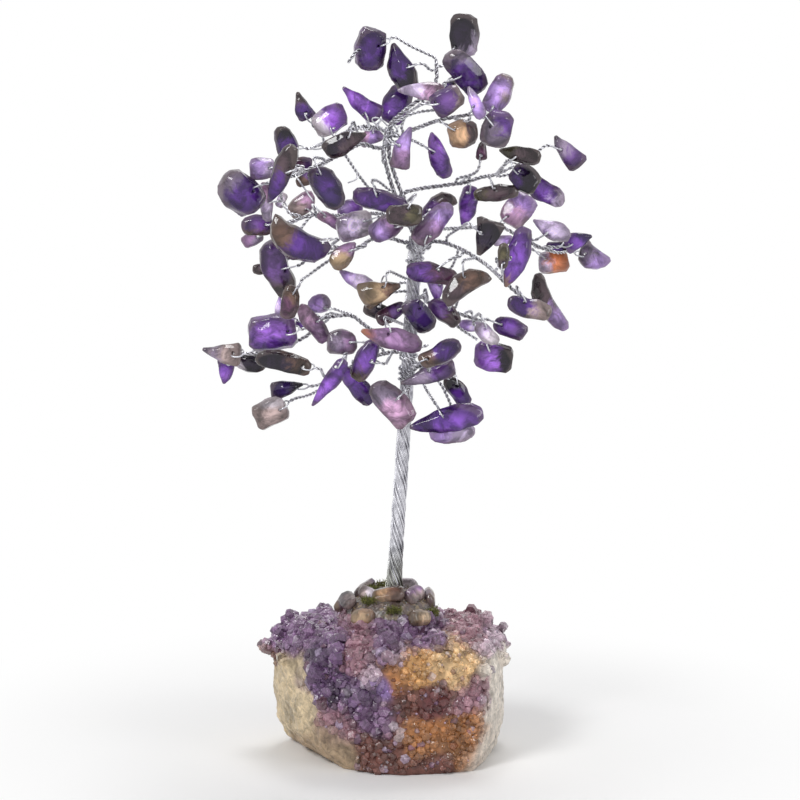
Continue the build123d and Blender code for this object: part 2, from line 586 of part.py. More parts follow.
def chip_body(form, length, width, number):
    """A tumbled chip along X with its broad face square to Z, its facets turned by its number."""
    rings = []
    for along_share, width_share, thick_share, side_share in chip_form_shares[form]:
        corners = []
        for side in range(chip_sides):
            turn = (side + 0.5 + 0.3 * math.sin(number)) * 2 * math.pi / chip_sides
            bulge = 1 + facet_share * math.sin(2.4 * number + 1.7 * side)
            corners.append(Vector(
                along_share * length,
                width * (side_share + width_share * bulge * math.cos(turn) / 2),
                width * chip_thickness_share * thick_share * bulge * math.sin(turn) / 2,
            ))
        rings.append(Wire.make_polygon(corners, close=True))
    return Solid.make_loft(rings, ruled=True)


def bail_loop(inset, height):
    """The wire through the hole and over both faces, in a plane with the hole at X = 0 and Y across the chip."""
    over = inset + rim_clearance
    end = inset + loop_overhang
    root = end + leg_root_share * wire_radius
    side = [(root, bail_gap), (end - leg_straight, bail_gap), (over, height), (0, height)]
    points = [Vector(x, y, 0) for x, y in side] + [Vector(x, -y, 0) for x, y in reversed(side)]
    return tube(rounded_route(points), wire_radius)


def chip_and_twig(entry, number, carrier):
    """One drilled chip in its place, and the twig that holds it: a shank and a loop through the hole."""
    form, place, length_share, width_share, lean, bail, leave, passes = entry
    length = length_share * chip_length
    width = width_share * chip_length
    lean_angle = math.radians(lean)
    flat = Plane(origin=seen(*place), x_dir=(math.cos(lean_angle), 0, math.sin(lean_angle)), z_dir=(0, -1, 0))
    flat = flat.rotated((roll_angle * math.sin(1.9 * number), pitch_angle * math.sin(2.7 * number + 1), 0))
    bail_angle = math.radians(bail - lean)
    heading = Vector(math.cos(bail_angle), math.sin(bail_angle), 0)
    rim = outline_reach(form, length, width, heading)
    inset = min(hole_inset, rim / 2)
    hole = heading * (rim - inset)
    height = thickness_at(form, length, width, hole.X) * (1 + facet_share) / 2 + loop_clearance + wire_radius
    drill = Cylinder(wire_radius + hole_clearance, 2 * width)
    chip = flat * (chip_body(form, length, width, number) - Pos(*hole) * drill)
    loop = flat * (Plane(origin=hole, x_dir=heading, z_dir=heading.cross(Vector(0, 0, 1))) * bail_loop(inset, height))
    end = flat.from_local_coords(hole + heading * (inset + loop_overhang))
    away = flat.from_local_coords(hole + heading * (inset + loop_overhang + twig_lead))
    route = [seen(*point) for point in passes] + [away, end]
    start, outward = wire_start(carrier, leave, twig_gap, route[0])
    shank = tube(rounded_route([start, start + outward * twig_lead] + route, end_bend_share), twig_radius)
    return chip.solid(), (shank + loop).solid()


def write(name, solids):
    """Write one sub-part's solids to its own file."""
    shape = solids[0] if len(solids) == 1 else Compound(solids)
    export_step(shape, f"parts/{name}.step")


# What wires leave from: a middle line, its radius, and half the distance between its two wires
carriers = {
    "trunk": (trunk_axis(), trunk_radius, 0),
    "leader": (leader_line(), leader_radius, leader_spread),
}


def main():
    os.makedirs("parts", exist_ok=True)
    chips_at_foot = foot_chips()
    moss = moss_tufts()
    bore = socket(0)
    stone = stone_base()
    mound = mound_body().cut(stone, bore, *chips_at_foot, *moss)
    write("stone_base", [stone])
    write("glue_mound", mound.solids())
    write("foot_chips", chips_at_foot)
    write("moss_tufts", moss)
    write("trunk_core", [trunk_core()])
    write("trunk_strands", trunk_strands())
    write("leader_wires", leader_wires())
    number = 0
    for name, entries in chip_shares.items():
        chips = []
        twigs = []
        if name in bough_shares:
            line = bough_line(name)
            write(f"{name}_wire", [tube(line, bough_radius)])
            carrier = (line, bough_radius, 0)
        else:
            carrier = carriers[name]
        for entry in entries:
            number += 1
            chip, twig = chip_and_twig(entry, number, carrier)
            chips.append(chip)
            twigs.append(twig)
        write(f"{name}_chips", chips)
        write(f"{name}_twigs", twigs)


main()
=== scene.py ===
# %% [markdown]
# # A gemstone tree
# A rough crystal stone carries a trunk of laid silver wire. Thirteen boughs of twisted wire leave it,
# and every twig of twisted wire ends in a loop through one drilled, tumbled chip of purple stone. The
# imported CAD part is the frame: it says where every piece is and what moves. This script dresses it with
# the real surfaces, piece by piece.

# %% Load the frame
import math

import bpy
import numpy as np
from mathutils import Matrix, Vector, noise


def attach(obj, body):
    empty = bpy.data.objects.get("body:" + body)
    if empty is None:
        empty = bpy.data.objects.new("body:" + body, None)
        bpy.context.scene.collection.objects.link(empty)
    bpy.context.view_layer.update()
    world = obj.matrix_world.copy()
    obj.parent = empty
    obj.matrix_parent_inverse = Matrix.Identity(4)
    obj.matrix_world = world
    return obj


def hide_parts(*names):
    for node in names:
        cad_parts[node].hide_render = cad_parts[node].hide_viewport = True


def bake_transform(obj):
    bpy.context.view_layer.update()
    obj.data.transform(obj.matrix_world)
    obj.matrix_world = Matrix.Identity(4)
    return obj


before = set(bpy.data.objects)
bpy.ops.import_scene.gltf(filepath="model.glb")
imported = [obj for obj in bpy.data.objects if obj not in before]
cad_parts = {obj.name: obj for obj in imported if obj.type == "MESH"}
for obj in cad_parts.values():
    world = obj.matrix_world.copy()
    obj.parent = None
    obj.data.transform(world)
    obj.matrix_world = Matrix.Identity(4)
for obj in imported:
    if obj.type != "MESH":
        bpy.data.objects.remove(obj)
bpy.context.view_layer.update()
mm = 0.001

# %% [markdown]
# ## Colours
# Amethyst runs from clear through lilac and violet to almost black, and smoky or iron-stained bands turn
# it taupe, brown or tan. One small palette serves the chips and the stone, so that they look dug from
# one place. The numbers are picked as a screen shows them, and Blender wants light, so they are turned
# into linear values.

# %% Palette
def shade(red, green, blue):
    """A screen colour, 0 to 255, as the linear colour that Blender mixes."""
    return tuple(((channel / 255 + 0.055) / 1.055) ** 2.4 for channel in (red, green, blue))


palette = {
    "black": shade(27, 18, 36),
    "navy": shade(46, 28, 76),
    "deep": shade(68, 36, 106),
    "violet": shade(100, 60, 144),
    "bright": shade(134, 86, 178),
    "purple": shade(88, 58, 116),
    "lilac": shade(166, 136, 198),
    "pale": shade(202, 184, 216),
    "clear": shade(214, 204, 214),
    "pink": shade(178, 140, 172),
    "mauve": shade(136, 104, 142),
    "maroon": shade(86, 52, 78),
    "grey": shade(122, 108, 130),
    "taupe": shade(146, 128, 126),
    "smoky": shade(66, 52, 58),
    "brown": shade(96, 72, 62),
    "khaki": shade(146, 124, 98),
    "tan": shade(172, 138, 108),
    "orange": shade(186, 112, 74),
    "olive": shade(78, 72, 52),
}
print("colours", len(palette))

# %% [markdown]
# ## Where the pieces are
# The tables below are the ones that the part was drawn from: shares of the crown's reach, as seen from
# the front. They are repeated here because a wire is laid along its route, and a finished mesh no longer
# says what its route was.

# %% Sizes of the foot and the trunk
stone_height = 35.0 * mm
socket_depth = 12.0 * mm
mound_width = 28.0 * mm
mound_height = 11.0 * mm
mound_sink = 1.2 * mm
mound_top = stone_height - mound_sink + mound_height
trunk_radius = 1.85 * mm
trunk_top = 140.0 * mm
trunk_lean = 3.6
print("the trunk leaves the glue at", round(mound_top / mm, 1), "mm and forks at", trunk_top / mm, "mm")

# %% [markdown]
# The crown is measured as the photograph shows it: across, up, and how deep. The camera looks down by
# the view's lift, so a deep place is seen higher than it lies.

# %% Sizes of the crown
crown_reach = 53.0 * mm
crown_half_depth = 36.0 * mm
crown_seen_height = 140.0 * mm
crown_across = 3.0 * mm
view_lift = 10.0
leader_radius = 0.55 * mm
leader_spread = 0.95 * mm
leader_route_shares = [(0.01, 0.125, 0.00), (-0.04, 0.25, 0.00), (-0.08, 0.38, 0.00), (-0.05, 0.49, 0.00)]
leader_spread_shares = [(0.0, 0.66), (0.26, 1.0), (0.50, 0.86), (0.78, 0.68), (1.0, 0.68)]
print("the crown reaches", crown_reach / mm, "mm to each side")

# %% [markdown]
# Every bough has a row of its own: what carries it, the share of the carrier's length where it leaves,
# and the corners of its route.

# %% Routes of the boughs
bough_shares = {
    "top_bough": ("leader", 1.00, [
        (0.04, 0.59, 0.00), (0.13, 0.655, 0.03), (0.185, 0.72, 0.07), (0.18, 0.815, 0.07),
    ]),
    "top_right_bough": ("leader", 0.955, [
        (0.06, 0.48, -0.05), (0.185, 0.52, -0.18), (0.31, 0.54, -0.25), (0.37, 0.545, -0.28),
    ]),
    "upper_left_bough": ("leader", 0.97, [
        (-0.175, 0.51, 0.10), (-0.275, 0.48, 0.18), (-0.35, 0.44, 0.23), (-0.41, 0.42, 0.26),
    ]),
    "left_shoulder_bough": ("leader", 0.82, [
        (-0.19, 0.415, -0.10), (-0.275, 0.36, -0.20), (-0.36, 0.315, -0.27), (-0.435, 0.28, -0.30),
        (-0.51, 0.245, -0.33), (-0.595, 0.222, -0.36),
    ]),
    "left_bough": ("leader", 0.16, [
        (-0.075, 0.08, 0.16), (-0.175, 0.085, 0.27), (-0.275, 0.075, 0.34), (-0.375, 0.08, 0.40),
        (-0.44, 0.085, 0.43), (-0.56, 0.05, 0.47),
    ]),
    "middle_left_bough": ("trunk", 0.985, [
        (-0.06, -0.04, 0.05), (-0.14, -0.05, 0.00), (-0.20, -0.10, -0.12), (-0.275, -0.11, -0.20),
        (-0.32, -0.095, -0.24),
    ]),
    "low_left_bough": ("trunk", 0.775, [
        (-0.10, -0.52, 0.12), (-0.165, -0.485, 0.22), (-0.24, -0.42, 0.30), (-0.325, -0.425, 0.33),
        (-0.41, -0.44, 0.36), (-0.45, -0.515, 0.38), (-0.55, -0.57, 0.40), (-0.71, -0.59, 0.40),
    ]),
    "lower_left_bough": ("trunk", 0.735, [
        (-0.11, -0.625, 0.06), (-0.19, -0.66, 0.07), (-0.25, -0.69, 0.04), (-0.31, -0.715, -0.06),
        (-0.36, -0.73, -0.12),
    ]),
    "lower_right_bough": ("trunk", 0.70, [
        (0.09, -0.68, -0.14), (0.16, -0.70, -0.22), (0.225, -0.74, -0.26),
    ]),
    "low_right_bough": ("trunk", 0.865, [
        (0.125, -0.36, -0.03), (0.20, -0.38, -0.03), (0.285, -0.42, 0.00), (0.39, -0.45, 0.05),
    ]),
    "middle_right_bough": ("trunk", 0.975, [
        (0.15, -0.06, 0.00), (0.22, -0.07, -0.11), (0.29, -0.10, -0.19), (0.34, -0.13, -0.25),
        (0.41, -0.175, -0.30), (0.465, -0.22, -0.33), (0.51, -0.27, -0.34), (0.585, -0.335, -0.34),
        (0.65, -0.375, -0.33),
    ]),
    "right_bough": ("leader", 0.10, [
        (0.20, 0.005, 0.30), (0.325, 0.02, 0.52), (0.42, 0.03, 0.64), (0.50, 0.045, 0.70),
        (0.57, 0.01, 0.75), (0.65, -0.035, 0.80), (0.725, -0.07, 0.84), (0.80, -0.09, 0.88),
    ]),
    "upper_right_bough": ("leader", 0.38, [
        (0.08, 0.195, 0.08), (0.16, 0.21, 0.13), (0.25, 0.22, 0.16), (0.335, 0.235, 0.18),
        (0.40, 0.26, 0.18), (0.475, 0.27, 0.18), (0.53, 0.295, 0.18),
    ]),
}
print("boughs", len(bough_shares))

# %% [markdown]
# Every chip has a row of its own: its form, its place, its length and width, the way its tip points, the
# way its twig leaves it, the share of the bough where the twig starts, and what the twig passes on its
# way. A form is a row of stations along the chip, each with its width, its thickness and its shift to
# one side.

# %% Chips of each bough
chip_form_shares = {
    "pebble": [
        (-0.50, 0.42, 0.45, 0.00), (-0.38, 0.80, 0.80, 0.02), (-0.10, 1.00, 1.00, 0.00),
        (0.22, 0.94, 0.95, -0.03), (0.40, 0.70, 0.72, -0.01), (0.50, 0.36, 0.40, 0.00),
    ],
    "block": [
        (-0.50, 0.60, 0.58, -0.02), (-0.40, 0.92, 0.90, 0.00), (0.02, 1.00, 1.00, 0.02),
        (0.38, 0.90, 0.88, 0.00), (0.50, 0.56, 0.55, 0.03),
    ],
    "bar": [
        (-0.50, 0.48, 0.50, 0.03), (-0.42, 0.84, 0.85, 0.00), (-0.10, 1.00, 1.00, -0.03),
        (0.22, 0.96, 0.98, 0.02), (0.42, 0.76, 0.80, 0.04), (0.50, 0.38, 0.45, 0.05),
    ],
    "bean": [
        (-0.50, 0.44, 0.50, -0.22), (-0.40, 0.82, 0.85, -0.12), (-0.08, 1.00, 1.00, 0.10),
        (0.24, 0.92, 0.95, 0.08), (0.42, 0.70, 0.75, -0.10), (0.50, 0.40, 0.45, -0.20),
    ],
    "drop": [
        (-0.50, 0.46, 0.48, 0.00), (-0.40, 0.84, 0.85, -0.02), (-0.16, 1.00, 1.00, 0.00),
        (0.12, 0.80, 0.86, 0.03), (0.36, 0.44, 0.55, 0.02), (0.50, 0.14, 0.24, 0.00),
    ],
    "wedge": [
        (-0.50, 0.74, 0.60, 0.00), (-0.42, 1.00, 0.90, 0.00), (-0.10, 0.80, 1.00, 0.04),
        (0.24, 0.48, 0.80, 0.02), (0.50, 0.15, 0.32, -0.04),
    ],
}

chip_shares = {
    "top_bough": [
        ("block", (-0.145, 0.88, 0.03), 0.98, 0.72, 80, 25, 1.00, [(0.05, 0.895, 0.07)]),
        ("drop", (0.01, 0.785, 0.05), 1.20, 0.65, 110, 15, 0.91, []),
        ("block", (0.315, 0.94, 0.02), 0.98, 0.75, 95, 235, 0.955, []),
        ("bar", (0.32, 0.75, -0.16), 1.25, 0.70, 120, 205, 0.64, [(0.225, 0.70, 0.00)]),
        ("wedge", (0.235, 0.705, 0.20), 0.45, 0.30, 200, 200, 0.74, []),
        ("drop", (0.105, 0.665, -0.13), 1.10, 0.45, 172, 350, 0.50, [(0.30, 0.63, -0.03)]),
    ],
    "top_right_bough": [
        ("block", (0.23, 0.60, -0.36), 0.75, 0.65, 40, 185, 0.12,
         [(0.03, 0.555, -0.10), (0.10, 0.59, -0.24)]),
        ("block", (0.485, 0.645, -0.22), 0.95, 0.60, 60, 240, 1.00, []),
        ("drop", (0.365, 0.585, -0.52), 0.80, 0.35, 115, 250, 0.78, []),
        ("block", (0.305, 0.44, -0.40), 0.70, 0.65, 10, 150, 0.58, []),
        ("block", (0.47, 0.46, -0.40), 0.85, 0.70, 70, 130, 0.95, []),
    ],
    "upper_left_bough": [
        ("wedge", (-0.485, 0.615, 0.28), 0.70, 0.50, 120, 300, 0.90, [(-0.39, 0.48, 0.26)]),
        ("block", (-0.345, 0.54, 0.13), 0.82, 0.70, 20, 285, 0.50, []),
        ("wedge", (-0.195, 0.615, 0.00), 1.10, 0.55, 145, 290, 0.30, []),
        ("bar", (-0.565, 0.425, 0.30), 0.90, 0.55, 100, 350, 1.00, []),
        ("block", (-0.15, 0.46, 0.32), 0.55, 0.40, 30, 60, 0.16, []),
    ],
    "left_shoulder_bough": [
        ("drop", (-0.265, 0.40, -0.42), 1.10, 0.55, 25, 70, 0.22, []),
        ("block", (-0.48, 0.31, -0.06), 0.45, 0.35, 0, 220, 0.84, []),
        ("bar", (-0.448, 0.245, -0.20), 0.65, 0.30, 35, 40, 0.50, []),
        ("pebble", (-0.355, 0.185, -0.42), 1.10, 0.65, 115, 115, 0.58, []),
        ("drop", (-0.575, 0.24, -0.56), 1.50, 0.55, 252, 20, 0.82, []),
        ("bar", (-0.66, 0.125, -0.15), 0.95, 0.30, 270, 0, 0.92, [(-0.59, 0.16, -0.20)]),
        ("block", (-0.67, 0.285, -0.30), 0.60, 0.55, 10, 0, 0.76, [(-0.54, 0.28, -0.31)]),
        ("block", (-0.775, 0.16, -0.34), 1.10, 0.90, 135, 20, 1.00, []),
    ],
    "left_bough": [
        ("block", (-0.225, 0.02, 0.14), 0.85, 0.65, 10, 20, 0.12, []),
        ("block", (-0.255, 0.115, 0.50), 0.60, 0.45, 20, 300, 0.42, []),
        ("bar", (-0.35, 0.05, 0.27), 0.60, 0.30, 140, 140, 0.78, [(-0.44, 0.13, 0.33)]),
        ("pebble", (-0.495, 0.14, 0.62), 0.75, 0.50, 50, 320, 0.70, []),
        ("block", (-0.595, 0.155, 0.40), 0.35, 0.25, 60, 300, 0.90, []),
        ("block", (-0.715, 0.03, 0.36), 0.70, 0.50, 10, 10, 1.00, []),
        ("block", (-0.75, -0.035, 0.54), 0.50, 0.35, 30, 30, 0.95, []),
    ],
    "middle_left_bough": [
        ("drop", (-0.275, -0.14, -0.45), 0.80, 0.50, 40, 20, 0.63, []),
        ("bean", (-0.50, -0.08, -0.42), 1.55, 0.75, 155, 5, 1.00, []),
        ("bar", (-0.605, -0.21, -0.12), 1.50, 0.72, 280, 15, 0.84, [(-0.44, -0.14, -0.16)]),
        ("bar", (-0.685, -0.195, 0.08), 0.50, 0.25, 10, 20, 0.76, [(-0.44, -0.10, 0.00)]),
        ("bar", (-0.54, -0.365, -0.30), 0.80, 0.45, 75, 60, 0.92,
         [(-0.37, -0.18, -0.28), (-0.465, -0.25, -0.28)]),
    ],
    "low_left_bough": [
        ("pebble", (-0.415, -0.365, 0.46), 0.52, 0.48, 30, 340, 0.40, []),
        ("bar", (-0.435, -0.47, 0.14), 1.15, 0.42, 125, 35, 0.46, []),
        ("wedge", (-0.61, -0.37, 0.44), 0.45, 0.30, 90, 320, 0.58, [(-0.50, -0.46, 0.42)]),
        ("pebble", (-0.50, -0.46, 0.54), 0.25, 0.22, 0, 340, 0.54, []),
        ("block", (-0.645, -0.515, 0.22), 1.15, 0.95, 0, 10, 0.64, []),
        ("wedge", (-0.905, -0.61, 0.30), 0.95, 0.62, 180, 0, 1.00, []),
        ("wedge", (-0.89, -0.705, 0.46), 0.60, 0.45, 260, 60, 0.965, [(-0.775, -0.62, 0.46)]),
        ("pebble", (-0.765, -0.66, 0.56), 0.75, 0.55, 0, 40, 0.92, []),
    ],
    "lower_left_bough": [
        ("block", (-0.29, -0.565, -0.10), 0.70, 0.60, 0, 0, 0.20, [(-0.145, -0.565, -0.02)]),
        ("bar", (-0.17, -0.655, -0.28), 1.05, 0.48, 60, 350, 0.10, []),
        ("bar", (-0.21, -0.785, -0.10), 1.15, 0.50, 130, 100, 0.56, []),
        ("drop", (-0.35, -0.77, -0.42), 1.35, 0.38, 227, 60, 0.80, []),
        ("bar", (-0.57, -0.665, -0.40), 1.30, 0.55, 172, 352, 1.00, []),
        ("wedge", (-0.555, -0.79, -0.22), 0.80, 0.50, 10, 5, 0.94, []),
        ("block", (-0.64, -0.915, -0.34), 0.82, 0.68, 30, 30, 0.74, [(-0.45, -0.83, -0.24)]),
    ],
    "lower_right_bough": [
        ("bar", (0.20, -0.625, -0.64), 1.05, 0.50, 25, 205, 0.30, []),
        ("wedge", (0.14, -0.73, -0.41), 1.38, 0.50, 195, 80, 0.58, []),
        ("bar", (0.285, -0.81, -0.12), 0.85, 0.45, 130, 95, 1.00, []),
        ("drop", (0.225, -0.95, -0.42), 1.75, 0.70, 185, 120, 0.42, [(0.125, -0.79, -0.28)]),
        ("bar", (0.265, -1.02, -0.24), 1.10, 0.40, 12, 95, 0.84,
         [(0.215, -0.79, -0.23), (0.255, -0.88, -0.24)]),
    ],
    "low_right_bough": [
        ("block", (0.09, -0.435, -0.28), 0.85, 0.65, 120, 75, 0.14, []),
        ("bar", (0.225, -0.42, -0.16), 0.85, 0.48, 140, 50, 0.56, []),
        ("bar", (0.375, -0.48, 0.22), 0.75, 0.30, 170, 100, 0.80, []),
        ("pebble", (0.435, -0.525, -0.14), 0.65, 0.40, 140, 110, 0.90, []),
        ("bar", (0.555, -0.49, 0.12), 0.80, 0.48, 160, 160, 1.00, []),
        ("block", (0.47, -0.635, 0.12), 0.90, 0.75, 160, 110, 0.96, [(0.41, -0.50, 0.10)]),
    ],
    "middle_right_bough": [
        ("bar", (0.15, -0.23, -0.30), 1.25, 0.50, 175, 35, 0.40, [(0.28, -0.15, -0.24)]),
        ("wedge", (0.18, -0.31, -0.08), 0.55, 0.40, 270, 60, 0.34, [(0.26, -0.19, -0.10)]),
        ("bean", (0.315, -0.295, -0.52), 1.25, 0.55, 35, 95, 0.50, []),
        ("wedge", (0.42, -0.06, -0.48), 0.85, 0.70, 250, 140, 0.24,
         [(0.27, -0.02, -0.22), (0.325, 0.01, -0.36)]),
        ("block", (0.51, -0.065, -0.18), 0.45, 0.25, 10, 280, 0.66, []),
        ("drop", (0.565, -0.16, -0.50), 1.50, 0.60, 255, 180, 0.79, []),
        ("bar", (0.50, -0.16, -0.70), 0.55, 0.25, 80, 265, 0.61, []),
        ("bean", (0.735, -0.375, -0.18), 1.62, 0.48, 122, 190, 1.00, []),
        ("bar", (0.63, -0.405, -0.56), 1.05, 0.50, 155, 120, 0.88, []),
    ],
    "right_bough": [
        ("block", (0.60, 0.115, 0.60), 0.90, 0.70, 60, 220, 0.52, []),
        ("drop", (0.775, 0.02, 0.66), 1.05, 0.50, 152, 215, 0.78, []),
        ("wedge", (0.92, -0.03, 0.82), 0.70, 0.50, 20, 200, 0.94, []),
        ("bean", (0.995, -0.11, 0.95), 0.80, 0.55, 140, 170, 1.00, []),
        ("block", (0.80, -0.135, 1.08), 0.75, 0.65, 0, 150, 0.84, []),
        ("bar", (0.815, -0.06, 0.98), 0.55, 0.30, 5, 180, 0.89, []),
    ],
    "upper_right_bough": [
        ("drop", (0.34, 0.12, 0.31), 1.00, 0.50, 250, 85, 0.58, []),
        ("wedge", (0.41, 0.39, 0.10), 0.45, 0.30, 90, 260, 0.52, [(0.36, 0.27, 0.15)]),
        ("drop", (0.59, 0.355, -0.14), 1.00, 0.45, 165, 215, 0.91, []),
        ("wedge", (0.835, 0.395, 0.24), 0.95, 0.60, 130, 165, 1.00,
         [(0.61, 0.33, 0.22), (0.68, 0.38, 0.22)]),
        ("block", (0.62, 0.245, 0.04), 0.75, 0.60, 145, 130, 0.97, []),
        ("bar", (0.72, 0.195, 0.24), 1.10, 0.50, 318, 150, 0.90, []),
        ("bar", (0.475, 0.175, 0.04), 1.10, 0.42, 192, 110, 0.70, []),
    ],
    "leader": [
        ("block", (-0.015, 0.62, 0.20), 0.90, 0.65, 60, 270, 0.97, []),
        ("wedge", (0.02, 0.38, -0.24), 1.00, 0.55, 80, 150, 0.86, []),
        ("drop", (0.19, 0.355, -0.14), 1.20, 0.48, 105, 150, 0.90, [(0.06, 0.43, -0.10)]),
        ("bar", (-0.10, 0.125, -0.26), 1.30, 0.50, 165, 110, 0.45, [(-0.11, 0.23, -0.12)]),
        ("block", (0.02, 0.05, -0.46), 0.85, 0.55, 5, 60, 0.30, []),
        ("block", (-0.07, 0.00, -0.17), 0.80, 0.60, 30, 20, 0.08, []),
        ("bean", (0.19, 0.11, -0.10), 0.85, 0.45, 35, 215, 0.20, []),
    ],
    "trunk": [
        ("bar", (0.165, 0.01, -0.34), 1.20, 0.55, 38, 250, 0.94, [(0.09, -0.10, -0.20)]),
        ("wedge", (-0.095, -0.315, -0.26), 0.95, 0.70, 25, 70, 0.905, []),
        ("block", (-0.11, -0.41, -0.04), 0.65, 0.40, 160, 70, 0.875, []),
        ("bar", (-0.04, -0.42, -0.16), 0.70, 0.40, 25, 20, 0.84, []),
        ("drop", (-0.215, -0.255, -0.06), 0.85, 0.42, 155, 340, 0.895, [(-0.04, -0.28, -0.03)]),
        ("drop", (-0.04, -0.55, -0.48), 1.50, 0.60, 158, 110, 0.80, []),
        ("bar", (-0.04, -0.87, -0.32), 1.25, 0.70, 135, 45, 0.62, []),
    ],
}
print("chips", sum(len(entries) for entries in chip_shares.values()))

# %% [markdown]
# The colours of each chip, in the same order: its main and its second colour, the way the second one
# lies as seen from the front (degrees), and how much of the chip it takes.

# %% Looks of each chip
chip_looks = {
    "top_bough": [
        ("deep", "lilac", 180, 0.25), ("deep", "black", 300, 0.40), ("black", "pale", 315, 0.25),
        ("deep", "grey", 90, 0.30), ("deep", "black", 0, 0.40), ("pink", "pale", 180, 0.50),
    ],
    "top_right_bough": [
        ("purple", "taupe", 0, 0.35), ("lilac", "taupe", 0, 0.30), ("lilac", "pale", 90, 0.40),
        ("tan", "smoky", 0, 0.30), ("grey", "violet", 45, 0.40),
    ],
    "upper_left_bough": [
        ("deep", "smoky", 90, 0.45), ("bright", "clear", 225, 0.35), ("bright", "violet", 0, 0.40),
        ("deep", "black", 90, 0.30), ("pink", "lilac", 0, 0.50),
    ],
    "left_shoulder_bough": [
        ("smoky", "black", 180, 0.50), ("maroon", "purple", 0, 0.40), ("brown", "purple", 45, 0.50),
        ("navy", "deep", 90, 0.40), ("smoky", "deep", 260, 0.45), ("pink", "pale", 270, 0.50),
        ("lilac", "pale", 0, 0.40), ("deep", "grey", 135, 0.30),
    ],
    "left_bough": [
        ("pale", "clear", 0, 0.40), ("lilac", "bright", 0, 0.40), ("mauve", "pink", 140, 0.40),
        ("taupe", "pink", 50, 0.50), ("pale", "clear", 0, 0.50), ("purple", "brown", 270, 0.40),
        ("mauve", "grey", 0, 0.50),
    ],
    "middle_left_bough": [
        ("mauve", "khaki", 250, 0.50), ("deep", "brown", 160, 0.45), ("smoky", "purple", 90, 0.50),
        ("smoky", "grey", 0, 0.50), ("maroon", "brown", 75, 0.50),
    ],
    "low_left_bough": [
        ("lilac", "pale", 0, 0.30), ("pink", "mauve", 300, 0.50), ("pale", "lilac", 0, 0.50),
        ("violet", "violet", 0, 0.50), ("bright", "deep", 270, 0.40), ("taupe", "grey", 180, 0.40),
        ("violet", "bright", 270, 0.40), ("black", "clear", 200, 0.20),
    ],
    "lower_left_bough": [
        ("grey", "mauve", 0, 0.50), ("violet", "brown", 240, 0.40), ("deep", "violet", 130, 0.35),
        ("violet", "bright", 227, 0.40), ("black", "brown", 0, 0.35), ("navy", "black", 0, 0.40),
        ("taupe", "clear", 90, 0.30),
    ],
    "lower_right_bough": [
        ("deep", "brown", 205, 0.35), ("purple", "grey", 195, 0.45), ("deep", "black", 130, 0.30),
        ("deep", "violet", 0, 0.45), ("pale", "lilac", 180, 0.40),
    ],
    "low_right_bough": [
        ("navy", "deep", 120, 0.45), ("smoky", "purple", 140, 0.50), ("pale", "lilac", 170, 0.40),
        ("clear", "pale", 140, 0.50), ("purple", "violet", 160, 0.50), ("bright", "black", 0, 0.45),
    ],
    "middle_right_bough": [
        ("maroon", "violet", 175, 0.50), ("lilac", "bright", 270, 0.30), ("smoky", "brown", 35, 0.40),
        ("black", "smoky", 250, 0.40), ("pale", "lilac", 0, 0.50), ("violet", "tan", 255, 0.25),
        ("smoky", "olive", 80, 0.50), ("smoky", "lilac", 302, 0.30), ("deep", "taupe", 340, 0.40),
    ],
    "right_bough": [
        ("pink", "lilac", 60, 0.50), ("pale", "purple", 225, 0.35), ("violet", "navy", 20, 0.45),
        ("lilac", "grey", 140, 0.50), ("orange", "pale", 180, 0.35), ("deep", "black", 0, 0.40),
    ],
    "upper_right_bough": [
        ("violet", "bright", 250, 0.40), ("maroon", "smoky", 90, 0.40), ("smoky", "olive", 165, 0.35),
        ("purple", "grey", 130, 0.50), ("black", "deep", 145, 0.40), ("violet", "pale", 318, 0.30),
        ("smoky", "olive", 192, 0.30),
    ],
    "leader": [
        ("violet", "deep", 60, 0.45), ("mauve", "lilac", 80, 0.50), ("violet", "bright", 105, 0.40),
        ("deep", "violet", 165, 0.35), ("smoky", "olive", 0, 0.40), ("lilac", "mauve", 30, 0.50),
        ("purple", "smoky", 35, 0.50),
    ],
    "trunk": [
        ("mauve", "lilac", 38, 0.50), ("khaki", "brown", 25, 0.40), ("black", "smoky", 160, 0.30),
        ("maroon", "purple", 25, 0.50), ("pale", "lilac", 155, 0.40), ("mauve", "orange", 158, 0.20),
        ("pink", "grey", 135, 0.45),
    ],
}
print("looks", sum(len(looks) for looks in chip_looks.values()))

# %% [markdown]
# ## Routes
# A hand-bent wire is a row of straight runs with a round bend at each corner. Every strand in this scene
# is laid along such a route, so the route is worked out once, and then walked at an even pace.

# %% Bends and places on a route
bend_share = 0.45
end_bend_share = 0.9
least_bend = 1.0
bend_steps = 8
least_run = 1e-6


def unit(vector):
    return np.asarray(vector, float) / np.linalg.norm(vector)


def rounded(points, end_share=bend_share):
    """The corners of a route with an arc at each bend, as a fine row of points."""
    row = [points[0]]
    for before, corner, after in zip(points, points[1:], points[2:]):
        inward, outward = unit(corner - before), unit(after - corner)
        turn = math.acos(max(-1.0, min(1.0, float(inward @ outward))))
        if turn < math.radians(least_bend):
            continue
        room_before = (end_share if before is points[0] else bend_share) * np.linalg.norm(corner - before)
        room_after = (end_share if after is points[-1] else bend_share) * np.linalg.norm(after - corner)
        setback = min(room_before, room_after)
        radius = setback / math.tan(turn / 2)
        sideways = (outward - inward * math.cos(turn)) / math.sin(turn)
        for step in range(bend_steps + 1):
            angle = turn * step / bend_steps
            bent = math.sin(angle) * inward + (1 - math.cos(angle)) * sideways
            row.append(corner - inward * setback + radius * bent)
    row.append(points[-1])
    return np.array(row)


def way_gone(row):
    """How far along a route each of its points lies."""
    return np.concatenate([[0], np.cumsum(np.linalg.norm(np.diff(row, axis=0), axis=1))])


